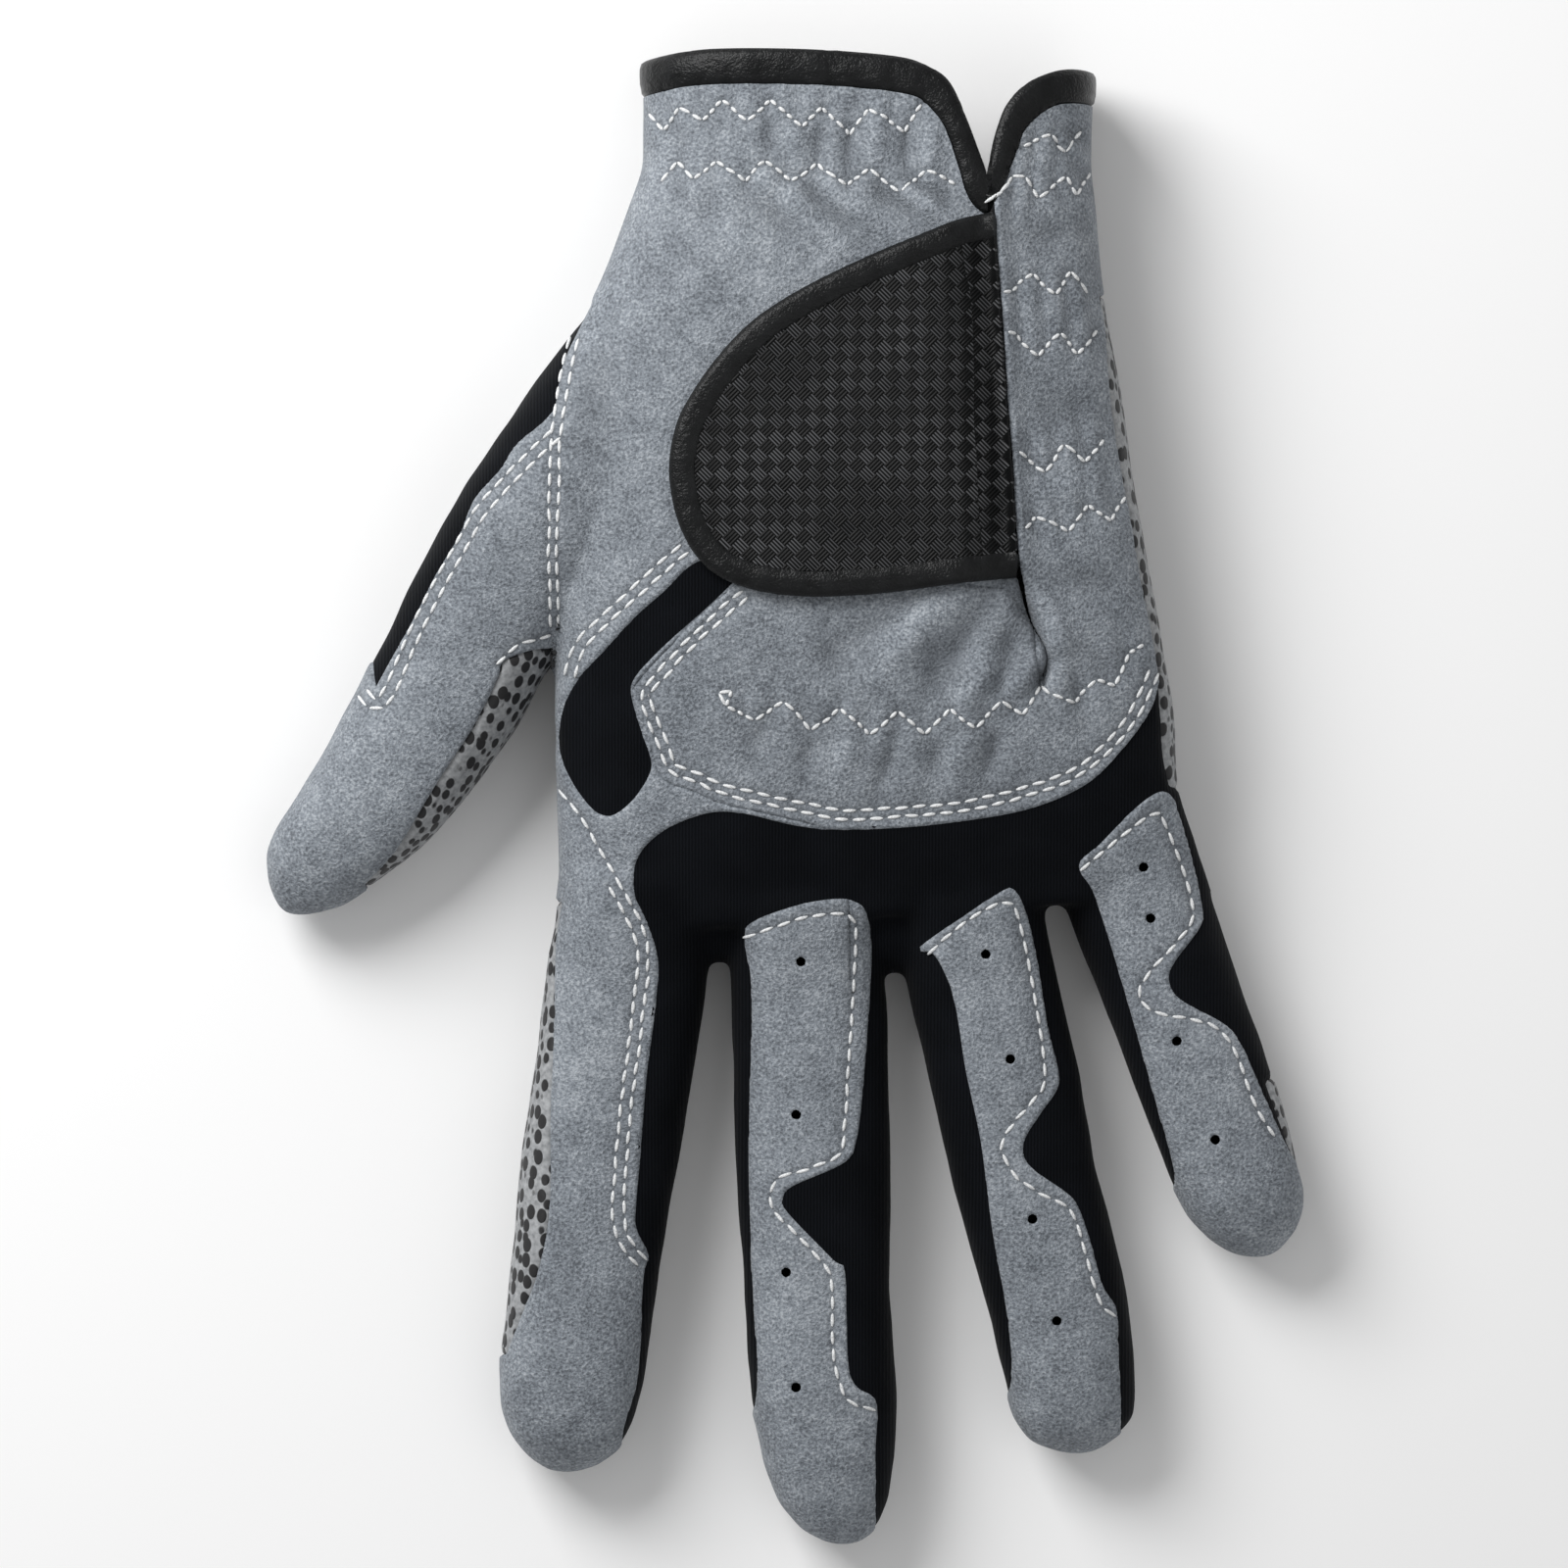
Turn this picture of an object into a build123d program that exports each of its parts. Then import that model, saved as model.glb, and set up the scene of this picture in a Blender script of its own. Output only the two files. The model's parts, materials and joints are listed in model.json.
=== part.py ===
from build123d import *
from math import cos, hypot, radians, sin
import os

os.makedirs("parts", exist_ok=True)

# A left-hand golf glove, filled out as on a hand, lying palm down on z = 0.
# +X runs to the little finger's side, +Y to the cuff, and the fingers reach to -Y.

# ---- driving dimensions, in millimetres and degrees ----
wall = 1.2  # suede, leather and stretch layers, made thick enough to print
cuff_length = 106.6  # from the origin to the cuff's end
fingertip_reach = 106.6  # from the origin to the longest fingertip
palm_height = 29.0  # back of the hand above the surface it lies on
knuckle_height = 25.0
web_height = 18.5  # where the fingers leave the hand
finger_height = 17.5
fingertip_height = 15.5
thumb_height = 22.0
thumb_tip_height = 16.0
hand_corner = 10.0  # edge rounding of the hand's sections
finger_corner = 5.0
hinge_gap = 0.6  # between two panels that move apart at a joint
palm_seam_height = 11.0  # where the back panels meet the palm leather
finger_front_height = 5.0  # where the finger's palm leather meets its gussets
finger_back_height = 12.0  # where the gussets meet the back panels
notch_depth = 17.6  # of the cuff's notch, above the slit
slit_gap = 1.0
binding_width = 5.0
binding_proud = 0.4  # folded tape outside the layer that it wraps
elastic_width = 5.0
elastic_thickness = 0.8
elastic_clearance = 0.05
elastic_seam_height = 22.0  # the elastics lie above this, under the flat of the back
tab_clearance = 0.4  # hook pad above loop pad
pad_thickness = 0.9  # hook or loop fabric
tab_sheet = 0.9  # backing or woven face
tab_binding_width = 3.9
tab_binding_proud = 0.3
pad_margin = 2.0  # from the tab's bound edge to its hook pad
pad_end = 12.0  # how far the pads run towards the tab's root
tip_rounding = 9.0  # length of the rounded fingertip
root_reach = 14.0  # how far a finger's tube runs into the hand
tab_root_top = (28.6, 82.6)
tab_root_bottom = (33.2, 31.2)
far = 200.0  # past everything, for cutting outlines

# ---- plan of the hand: radial edge, little-finger edge and height, from cuff to webs ----
hand_stations = [
    ((-20.3, cuff_length), (44.0, cuff_length), palm_height),
    ((-20.3, 90.0), (43.7, 90.0), palm_height),
    ((-24.3, 77.5), (44.3, 77.5), palm_height),
    ((-29.6, 65.0), (46.1, 65.0), palm_height),
    ((-32.4, 44.0), (49.5, 44.0), palm_height),
    ((-32.9, 20.0), (53.7, 24.0), palm_height),
    ((-32.2, 0.0), (55.6, 8.0), knuckle_height),
    ((-33.0, -30.0), (59.5, -14.0), web_height),
]
web_line = [(-40.0, -22.5), (-9.6, -23.6), (15.9, -26.1), (39.3, -14.9), (66.0, -8.0)]
thumb_root_stations = [
    ((-27.8, 69.5), (-14.0, 60.0), 27.0),
    ((-39.3, 53.7), (-20.0, 42.0), 26.0),
    ((-48.6, 40.1), (-27.0, 26.0), 24.0),
]

# name: base point on the joint line, splay from -Y, width at base and tip, length, joints from the base
fingers = {
    "index": ((-22.4, -25.5), -7.3, 21.8, 19.6, 70.8, (0.0, 31.0, 55.0)),
    "middle": ((3.0, -28.5), 2.6, 21.1, 20.2, fingertip_reach - 28.5, (0.0, 29.5, 59.0)),
    "ring": ((28.6, -27.5), 12.4, 20.4, 17.6, 67.6, (0.0, 22.2, 47.7)),
    "little": ((51.3, -17.5), 19.5, 18.8, 16.5, 50.8, (0.0, 11.4, 33.0)),
}
thumb = ((-43.2, 23.5), -34.6, 22.6, 17.0, 47.5, (0.0, 20.0))
segment_names = ["proximal", "middle", "distal"]
tip_profile = [(0.45, 0.92), (0.8, 0.68), (1.0, 0.34)]  # share of the rounding, share of the width


# ---- rounded tubes through upright sections ----
def section_plane(left, right, height):
    """Upright plane through two plan points, facing the fingers."""
    across = Vector(right[0] - left[0], right[1] - left[1], 0)
    middle = ((left[0] + right[0]) / 2, (left[1] + right[1]) / 2, height / 2)
    return Plane(origin=middle, x_dir=across, z_dir=across.cross(Vector(0, 0, 1)))


def tube(stations, corner, inset=0.0):
    """Solid through (left, right, height) stations, its sections drawn in by inset on every side."""
    with BuildPart() as solid:
        for left, right, height in stations:
            width = hypot(right[0] - left[0], right[1] - left[1]) - 2 * inset
            rise = height - 2 * inset
            with BuildSketch(section_plane(left, right, height)):
                RectangleRounded(width, rise, min(corner - inset, 0.42 * min(width, rise)))
        loft(ruled=True)
    return solid.part


def finger_station(
    finger, distance, share=1.0, height_share=1.0, tip_height=fingertip_height, base_height=finger_height,
):
    """Left and right plan points and height of a finger at a distance from its base."""
    base, splay, base_width, tip_width, length, joints = finger
    along = (sin(radians(splay)), -cos(radians(splay)))
    across = (cos(radians(splay)), sin(radians(splay)))
    run = min(max(distance / (length - tip_rounding), 0.0), 1.0)
    half = share * (base_width + (tip_width - base_width) * run) / 2
    height = height_share * (base_height + (tip_height - base_height) * run)
    x, y = base[0] + along[0] * distance, base[1] + along[1] * distance
    step_x, step_y = across[0] * half, across[1] * half
    return (x - step_x, y - step_y), (x + step_x, y + step_y), height


def finger_tube(finger, start, end, inset=0.0, heights=(finger_height, fingertip_height)):
    """Finger between two distances from its base; with end None it runs to the rounded tip."""
    base_height, tip_height = heights
    length = finger[4]
    options = {"tip_height": tip_height, "base_height": base_height}
    stations = [finger_station(finger, start, **options)]
    if end is None:
        stations.append(finger_station(finger, length - tip_rounding, **options))
        for part, share in tip_profile:
            reach = length - inset - (1 - part) * tip_rounding
            stations.append(finger_station(finger, reach, share, 1 - 0.5 * (1 - share) * part, **options))
    else:
        stations.append(finger_station(finger, end, **options))
    return tube(stations, finger_corner, inset)


def finger_root(finger, inset=0.0):
    """The part of a finger's tube that belongs to the hand."""
    return finger_tube(finger, -root_reach, finger[5][0] - hinge_gap / 2, inset)


def thumb_root(inset=0.0):
    """Ball of the thumb, from the wrist to the thumb's base joint."""
    last = finger_station(thumb, -hinge_gap / 2, base_height=thumb_height, tip_height=thumb_tip_height)
    return tube(thumb_root_stations + [last], hand_corner * 0.8, inset)


def hand_solid(inset=0.0):
    """Hand, finger roots and thumb root in one; the hand's far edge follows the webs."""
    palm = tube(hand_stations, hand_corner, inset)
    roots = [thumb_root(inset)] + [finger_root(finger, inset) for finger in fingers.values()]
    edge = [(x, y + inset) for x, y in web_line]
    with BuildPart() as solid:
        add(palm)
        with BuildSketch():
            with BuildLine():
                Polyline(*edge, (far, edge[-1][1]), (far, far), (-far, far), (-far, edge[0][1]), close=True)
            make_face()
        extrude(amount=far, mode=Mode.INTERSECT)
        add(roots)
    return solid.part


# ---- outlines of the zones, seen from above ----
def cuff_outline(inset=0.0):
    """Everything below the cuff's edge, with the notch above the slit."""
    with BuildSketch() as outline:
        with BuildLine():
            FilletPolyline(
                (-far, cuff_length - 0.6),
                (22.6, cuff_length - 0.6),
                (28.8, cuff_length - notch_depth),
                (32.3, cuff_length - 3.0),
                (far, cuff_length - 3.0),
                (far, -far),
                (-far, -far),
                radius=[0.1, 7.0, 0.2, 8.0, 0.1, 0.1, 0.1],
                close=True,
            )
        make_face()
        if inset:
            offset(amount=-inset, kind=Kind.ARC, mode=Mode.REPLACE)
    return outline.sketch


def diagonal_outline():
    """Stretch inset from under the tab to the thumb's web, with a round lower end."""
    with BuildSketch() as outline:
        with BuildLine():
            Spline(
                (-7.0, 35.5),
                (-12.3, 33.5),
                (-21.6, 25.3),
                (-28.6, 17.0),
                (-30.9, 9.0),
                (-29.8, 1.8),
                (-25.0, -2.6),
                (-20.5, 0.8),
                (-19.2, 6.5),
                (-21.8, 13.0),
                (-19.0, 20.0),
                (-9.5, 28.8),
                periodic=True,
            )
        make_face()
    return outline.sketch


def band_outline():
    """Stretch band over the knuckles, from the index panel to the little-finger edge."""
    with BuildSketch() as outline:
        with BuildLine() as edge:
            Spline(
                (-17.2, -32.0),
                (-19.6, -18.0),
                (-21.4, -12.0),
                (-17.5, -5.2),
                (-10.0, -2.0),
                (7.1, -4.6),
                (26.0, -3.3),
                (40.3, 0.5),
                (49.1, 8.3),
                (53.0, 17.5),
            )
            Polyline(edge.line @ 1, (80.0, 19.0), (80.0, -60.0), (-17.2, -60.0), (-17.2, -32.0))
        make_face()
    return outline.sketch


def knuckle_outline():
    """Suede over the back of the hand below the tab, and up the far side of the slit to the cuff."""
    with BuildSketch() as outline:
        with BuildLine():
            Polyline(
                (28.8, far),
                (28.8, 86.0),
                (33.0, 35.2),
                (-10.0, 34.0),
                (-24.0, 18.0),
                (-21.0, 3.6),
                (-12.0, 0.4),
                (0.0, -4.2),
                (0.0, -60.0),
                (far, -60.0),
                (far, far),
                close=True,
            )
        make_face()
    return outline.sketch


def slit_outline():
    """Narrow opening from the cuff's notch to below the tab."""
    path = [(28.8, cuff_length - notch_depth + 6.0), (29.1, 83.0), (33.0, 35.2), (35.5, 24.3), (37.0, 17.3)]
    with BuildSketch() as outline:
        with BuildLine():
            left = [(x - slit_gap / 2, y) for x, y in path]
            right = [(x + slit_gap / 2, y) for x, y in reversed(path)]
            Polyline(*left, *right, close=True)
        make_face()
    return outline.sketch


def thumb_outline():
    """Everything outside the seam that joins the thumb to the hand."""
    with BuildSketch() as outline:
        with BuildLine():
            Polyline(
                (-27.8, 72.0), (-31.8, 60.0), (-33.3, 45.0), (-33.5, 12.0), (-far, 12.0), (-far, 72.0),
                close=True,
            )
        make_face()
    return outline.sketch


def thumb_stretch_outline():
    """Stretch strip down the thumb's outer edge."""
    with BuildSketch() as outline:
        with BuildLine():
            Polyline(
                (-27.0, 73.0), (-31.6, 61.3), (-33.1, 54.8), (-38.2, 50.1), (-44.0, 42.5),
                (-49.9, 31.3), (-58.2, 15.9), (-far, 15.9), (-far, 73.0), close=True,
            )
        make_face()
    return outline.sketch


def tab_outline(inset=0.0):
    """Closure tab: straight sewn root beside the slit, rounded free end; an inset leaves the root."""
    with BuildSketch() as outline:
        with BuildLine() as edge:
            FilletPolyline(
                (tab_root_top[0] + inset, tab_root_top[1] + 0.36 * inset),
                (4.0, 73.6),
                (-17.3, 59.5),
                (-16.8, 27.4),
                (10.0, 28.2),
                (tab_root_bottom[0] + inset, tab_root_bottom[1] + 0.13 * inset),
                radius=[30.0, 16.0, 13.0, 60.0],
            )
            Line(edge.line @ 1, edge.line @ 0)
        make_face()
        if inset:
            offset(amount=-inset, kind=Kind.INTERSECTION, mode=Mode.REPLACE)
    return outline.sketch


# ---- solids and areas that the panels are cut from ----
cuff_area = cuff_outline()
panel_area = cuff_outline(binding_width)
diagonal_area = diagonal_outline()
band_area = band_outline()
knuckle_area = knuckle_outline()
slit_area = slit_outline()
thumb_area = thumb_outline()
thumb_stretch_area = thumb_stretch_outline()

hand_outside = hand_solid()
hand_inside = hand_solid(wall)

with BuildPart() as hand_shell:
    add(hand_outside)
    add(hand_inside, mode=Mode.SUBTRACT)
    extrude(panel_area, amount=far, mode=Mode.INTERSECT)

with BuildPart() as back_shell:
    add(hand_shell.part)
    split(bisect_by=Plane.XY.offset(palm_seam_height), keep=Keep.TOP)


def finish(piece, name):
    """Label a finished piece and write it under its own name."""
    piece.label = name
    export_step(piece, f"parts/{name}.step")


# ---- palm leather: the whole palm side, up to the side seams ----
with BuildPart() as palm_panel:
    add(hand_shell.part)
    split(bisect_by=Plane.XY.offset(palm_seam_height), keep=Keep.BOTTOM)
finish(palm_panel.part, "palm_panel")


# ---- suede and stretch panels of the back, each cut by its outline ----
def back_zone(inside, outside):
    """The part of the back's layer inside every area of one list and outside every area of the other."""
    with BuildPart() as zone:
        add(back_shell.part)
        for area in inside:
            extrude(area, amount=far, mode=Mode.INTERSECT)
        for area in outside:
            extrude(area, amount=far, mode=Mode.SUBTRACT)
    return zone.part


finish(back_zone([], [band_area, knuckle_area, diagonal_area, slit_area, thumb_area]), "back_panel")
finish(back_zone([knuckle_area], [band_area, diagonal_area, slit_area]), "knuckle_panel")
finish(back_zone([diagonal_area], [band_area, thumb_area]), "diagonal_stretch_inset")
finish(back_zone([band_area], []), "knuckle_stretch_band")
finish(back_zone([thumb_area], [thumb_stretch_area, diagonal_area]), "thumb_root_panel")
finish(back_zone([thumb_area, thumb_stretch_area], []), "thumb_root_stretch")

# ---- folded tape bound round the cuff and down both sides of its notch ----
binding_outside = tube(hand_stations, hand_corner, -binding_proud)
binding_inside = tube(hand_stations, hand_corner, wall + binding_proud)
with BuildPart() as cuff_binding:
    add(binding_outside)
    add(binding_inside, mode=Mode.SUBTRACT)
    extrude(cuff_area, amount=far, both=True, mode=Mode.INTERSECT)
    extrude(panel_area, amount=far, both=True, mode=Mode.SUBTRACT)
    split(bisect_by=Plane.XY, keep=Keep.TOP)
finish(cuff_binding.part, "cuff_binding")

# ---- gathered elastics sewn inside the back, under the zigzag rows ----
elastic_outside = hand_solid(wall + elastic_clearance)
elastic_inside = hand_solid(wall + elastic_clearance + elastic_thickness)


def elastic_rows(rows):
    """Strips between (x, y) ends, following the inside of the back."""
    with BuildPart() as strips:
        add(elastic_outside)
        add(elastic_inside, mode=Mode.SUBTRACT)
        split(bisect_by=Plane.XY.offset(elastic_seam_height), keep=Keep.TOP)
        with BuildSketch():
            for start, end in rows:
                with BuildLine():
                    row = Line(start, end)
                middle = row @ 0.5
                with Locations(Location((middle.X, middle.Y, 0), (0, 0, row.tangent_angle_at(0.5)))):
                    Rectangle(row.length, elastic_width)
        extrude(amount=far, mode=Mode.INTERSECT)
    return strips.part


first_row = cuff_length - binding_width - 5.2
second_row = cuff_length - binding_width - 13.2
cuff_rows = [((-14.0, first_row), (18.0, first_row)), ((-14.0, second_row), (19.5, second_row))]
finish(elastic_rows(cuff_rows), "cuff_elastics")
ulnar_rows = [
    ((binding_width + 32.5, first_row - 3.6), (42.0, first_row - 3.6)),
    ((binding_width + 28.8, second_row - 2.4), (42.0, second_row - 2.4)),
    ((31.0, 73.0), (42.5, 73.0)),
    ((32.0, 64.3), (44.0, 64.3)),
    ((33.5, 48.4), (46.5, 48.4)),
    ((35.0, 39.7), (48.0, 39.7)),
]
finish(elastic_rows(ulnar_rows), "ulnar_elastics")
finish(elastic_rows([((-8.0, 10.5), (34.0, 10.5))]), "knuckle_elastic")

# ---- closure tab: woven face on a backing, bound round, with a hook pad that meets a loop pad ----
loop_base = palm_height
hook_base = loop_base + pad_thickness + tab_clearance
backing_base = hook_base + pad_thickness
face_base = backing_base + tab_sheet
tab_area = tab_outline()
tab_inner_area = tab_outline(tab_binding_width)
pad_area = tab_outline(tab_binding_width + pad_margin)


def sheet_solid(area, base, thickness):
    """Flat layer of one outline."""
    with BuildPart() as layer:
        with BuildSketch(Plane.XY.offset(base)):
            add(area)
        extrude(amount=thickness)
    return layer.part


def pad_solid(base):
    """The pad's end of the tab, as a flat layer."""
    with BuildPart() as pad:
        with BuildSketch(Plane.XY.offset(base)):
            add(pad_area)
            with Locations((pad_end - far / 2, 0)):
                Rectangle(far, far, mode=Mode.INTERSECT)
        extrude(amount=pad_thickness)
    return pad.part


finish(pad_solid(loop_base), "loop_pad")
finish(pad_solid(hook_base), "tab_hook_pad")
finish(sheet_solid(tab_inner_area, backing_base, tab_sheet), "tab_backing")
finish(sheet_solid(tab_inner_area, face_base, tab_sheet), "tab_woven_face")
with BuildPart() as tab_binding:
    with BuildSketch(Plane.XY.offset(backing_base - tab_binding_proud)):
        add(tab_area)
        add(tab_inner_area, mode=Mode.SUBTRACT)
    extrude(amount=2 * (tab_sheet + tab_binding_proud))
finish(tab_binding.part, "tab_binding")


# ---- fingers and thumb: each segment is palm leather, a pair of stretch gussets and a suede back ----
def make_segment(name, finger, start, end, heights):
    """Cut one segment of a finger into its front, gussets and back."""
    outside = finger_tube(finger, start, end, 0.0, heights)
    inside = finger_tube(finger, start, end, wall, heights)
    with BuildPart() as sleeve:
        add(outside)
        add(inside, mode=Mode.SUBTRACT)
    with BuildPart() as front:
        add(sleeve.part)
        split(bisect_by=Plane.XY.offset(finger_front_height), keep=Keep.BOTTOM)
    with BuildPart() as back:
        add(sleeve.part)
        split(bisect_by=Plane.XY.offset(finger_back_height), keep=Keep.TOP)
    with BuildPart() as gussets:
        add(sleeve.part)
        split(bisect_by=Plane.XY.offset(finger_front_height), keep=Keep.TOP)
        split(bisect_by=Plane.XY.offset(finger_back_height), keep=Keep.BOTTOM)
    finish(front.part, f"{name}_front")
    finish(gussets.part, f"{name}_gussets")
    finish(back.part, f"{name}_back")


def make_finger(name, finger, segments, heights):
    """Every segment of one finger, with a gap at each joint."""
    joints = finger[5]
    ends = [joint - hinge_gap / 2 for joint in joints[1:]] + [None]
    for segment, joint, end in zip(segments, joints, ends):
        make_segment(f"{name}_{segment}", finger, joint + hinge_gap / 2, end, heights)


for name, finger in fingers.items():
    make_finger(name, finger, segment_names, (finger_height, fingertip_height))
make_finger("thumb", thumb, ["proximal", "distal"], (thumb_height, thumb_tip_height))
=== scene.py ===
import json
from math import copysign, pi, radians

import bmesh
import bpy
import numpy as np
from mathutils import Matrix, Vector, noise
from mathutils.bvhtree import BVHTree


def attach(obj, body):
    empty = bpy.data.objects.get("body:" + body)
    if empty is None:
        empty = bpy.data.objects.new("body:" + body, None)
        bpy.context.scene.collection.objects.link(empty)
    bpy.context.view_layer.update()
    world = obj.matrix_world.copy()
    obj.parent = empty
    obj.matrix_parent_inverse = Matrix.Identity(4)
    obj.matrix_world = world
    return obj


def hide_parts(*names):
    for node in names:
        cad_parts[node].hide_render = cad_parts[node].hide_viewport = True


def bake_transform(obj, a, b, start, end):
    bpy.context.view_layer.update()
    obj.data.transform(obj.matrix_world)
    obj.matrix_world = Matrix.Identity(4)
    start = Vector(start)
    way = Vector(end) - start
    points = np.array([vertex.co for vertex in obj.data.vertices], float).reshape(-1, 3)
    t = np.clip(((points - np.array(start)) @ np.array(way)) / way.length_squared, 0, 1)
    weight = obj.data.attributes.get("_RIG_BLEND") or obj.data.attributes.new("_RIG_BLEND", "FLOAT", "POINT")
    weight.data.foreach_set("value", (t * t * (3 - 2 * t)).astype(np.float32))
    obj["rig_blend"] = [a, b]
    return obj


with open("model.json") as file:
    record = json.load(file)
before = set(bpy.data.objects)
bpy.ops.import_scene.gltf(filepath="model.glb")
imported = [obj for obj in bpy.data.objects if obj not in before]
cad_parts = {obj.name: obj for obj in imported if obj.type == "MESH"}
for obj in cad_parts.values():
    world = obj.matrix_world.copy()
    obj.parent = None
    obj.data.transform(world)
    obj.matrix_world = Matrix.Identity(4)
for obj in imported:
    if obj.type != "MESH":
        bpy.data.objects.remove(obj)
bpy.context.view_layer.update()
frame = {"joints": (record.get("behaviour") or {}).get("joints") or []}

# ---- Filled form ----
# The shape that a left hand gives the glove, palm down with its fingers apart. Every layer is cut from
# one skin over this form, so neighbouring pieces share their sewn edge. Its lengths are in millimetres.
mm = 0.001
hinges = {joint["name"]: joint for joint in frame["joints"]}
fingers = ["index", "middle", "ring", "little", "thumb"]


def hinge_place(name):
    """Plan point of a hinge."""
    return Vector(hinges[name]["pos_m"][:2]) / mm


def finger_line(finger):
    """Base point, direction to the tip and direction across, in plan."""
    across = Vector(hinges[finger + "_base_joint"]["axis"][:2]).normalized()
    return hinge_place(finger + "_base_joint"), Vector((across.y, -across.x)), across


def add_ring(form, left, right, bottom, top, squareness):
    """Rounded upright section between two plan points; squareness 2 is an oval."""
    ring = bmesh.ops.create_circle(form, cap_ends=False, radius=1.0, segments=44)["verts"]
    centre, half = (left + right) / 2, (right - left) / 2
    waist = bottom + 0.45 * (top - bottom)
    for vert in ring:
        sideways = copysign(abs(vert.co.x) ** (2 / squareness), vert.co.x)
        upright = copysign(abs(vert.co.y) ** (2 / squareness), vert.co.y)
        reach = top - waist if upright > 0 else waist - bottom
        spot = centre + half * sideways
        vert.co = (spot.x * mm, spot.y * mm, (waist + reach * upright) * mm)
    inside = set(ring)
    return [edge for edge in form.edges if edge.verts[0] in inside and edge.verts[1] in inside]


def add_limb(form, sections):
    """Closed tube through (left, right, bottom, top, squareness) sections."""
    rings = [add_ring(form, *section) for section in sections]
    for near, far in zip(rings, rings[1:]):
        bmesh.ops.bridge_loops(form, edges=near + far)
    for end in (rings[0], rings[-1]):
        bmesh.ops.edgeloop_fill(form, edges=end)


hand_sections = [
    (-20.0, 113.0, 43.6, 113.0, 26.0),
    (-19.8, 90.0, 43.3, 90.0, 27.5),
    (-24.4, 77.5, 44.4, 77.5, 28.5),
    (-30.2, 64.0, 46.3, 65.0, 29.0),
    (-32.0, 48.0, 49.0, 48.0, 29.0),
    (-32.4, 30.0, 52.0, 30.0, 28.5),
    (-32.5, 14.0, 55.2, 14.0, 27.0),
    (-32.1, 1.0, 55.6, 2.0, 24.5),
    (-32.0, -10.0, 58.9, -8.0, 21.5),
    (-33.0, -20.0, 61.0, -13.5, 18.5),
]
# distance from the base joint, reach to the thumb's side, reach to the other side, bottom, top
finger_sections = {
    "index": [
        (-14, 10.5, 10.5, 0, 20), (0, 11.7, 10.9, 0, 18), (14, 11.4, 10.5, 0, 17.5),
        (28, 11.5, 10.2, 0, 17.3), (44, 11.0, 9.7, 0, 16.8), (57, 10.8, 9.2, 0, 16.2),
        (63, 9.9, 8.5, 0.4, 15.3), (67, 8.1, 6.9, 1.4, 13.6), (69.7, 5.6, 4.2, 3.2, 11.0),
        (71.4, 2.4, 1.0, 5.6, 8.4)],
    "middle": [
        (-14, 10.4, 10.6, 0, 21), (0, 10.5, 11.2, 0, 18), (14, 10.7, 11.0, 0, 17.5),
        (28, 11.0, 10.5, 0, 17.3), (44, 10.6, 10.0, 0, 16.8), (57, 10.2, 10.0, 0, 16.4),
        (66, 8.9, 9.5, 0.2, 15.6), (72, 7.0, 8.6, 1.2, 13.8), (75.8, 3.9, 6.8, 3.0, 11.2),
        (78.0, -0.4, 4.0, 5.6, 8.4)],
    "ring": [
        (-14, 10.4, 10.4, 0, 20), (0, 10.4, 10.4, 0, 18), (14, 10.3, 10.5, 0, 17.3),
        (28, 10.2, 9.8, 0, 17.0), (44, 9.4, 10.2, 0, 16.5), (54, 9.0, 9.7, 0, 16.0),
        (60.5, 8.8, 8.7, 0.6, 14.8), (64.3, 7.3, 7.6, 1.8, 13.2), (66.0, 4.7, 5.2, 3.4, 10.8),
        (67.5, 1.4, 1.8, 5.6, 8.2)],
    "little": [
        (-14, 9.6, 9.6, 0, 19), (0, 9.7, 10.0, 0, 17.5), (14, 9.2, 9.7, 0, 16.8),
        (28, 8.9, 9.7, 0, 16.2), (36, 8.5, 9.5, 0, 15.8), (42, 7.8, 8.8, 0.4, 15.0),
        (46.4, 6.0, 7.7, 1.6, 13.2), (49.1, 3.8, 5.4, 3.2, 10.8), (51.0, 0.4, 2.2, 5.6, 8.2)],
    "thumb": [
        (1, 12.2, 10.6, 0, 21), (8, 10.9, 11.4, 0, 19.5), (14, 10.1, 11.1, 0, 18.8),
        (22, 9.2, 11.0, 0, 18.2), (28, 8.4, 10.4, 0, 17.6), (34, 8.1, 8.9, 0.2, 16.6),
        (39, 8.0, 7.1, 0.8, 15.0), (43.5, 7.2, 5.3, 2.0, 13.0), (46.6, 4.8, 2.8, 3.6, 10.6),
        (48.7, 1.8, 0.4, 5.6, 8.2)],
}
thumb_root_sections = [
    ((-25.5, 72.0), (-12.0, 64.0), 24.0),
    ((-35.0, 60.0), (-18.0, 48.0), 25.5),
    ((-45.3, 45.0), (-24.0, 34.0), 25.0),
]
web_fillings = [(-9.6, -17.4, 6.0), (15.8, -18.6, 6.4), (39.2, -9.2, 5.6)]  # plan point and radius
layer_lift = 0.4  # the form's underside above the surface, for the layers below it

raw = bmesh.new()
add_limb(raw, [(Vector(s[0:2]), Vector(s[2:4]), 0, s[4], 3.0) for s in hand_sections])
for finger in fingers:
    base, along, across = finger_line(finger)
    sections = []
    if finger == "thumb":
        sections = [(Vector(left), Vector(right), 0, top, 2.5) for left, right, top in thumb_root_sections]
    for distance, outer, inner, bottom, top in finger_sections[finger]:
        spot = base + along * distance
        sections.append((spot - across * outer, spot + across * inner, bottom, top, 2.5))
    add_limb(raw, sections)
for x, y, radius in web_fillings:
    place = Matrix.Translation((x * mm, y * mm, 9.0 * mm))
    bmesh.ops.create_uvsphere(raw, u_segments=20, v_segments=12, radius=radius * mm, matrix=place)
bmesh.ops.recalc_face_normals(raw, faces=raw.faces)


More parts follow.
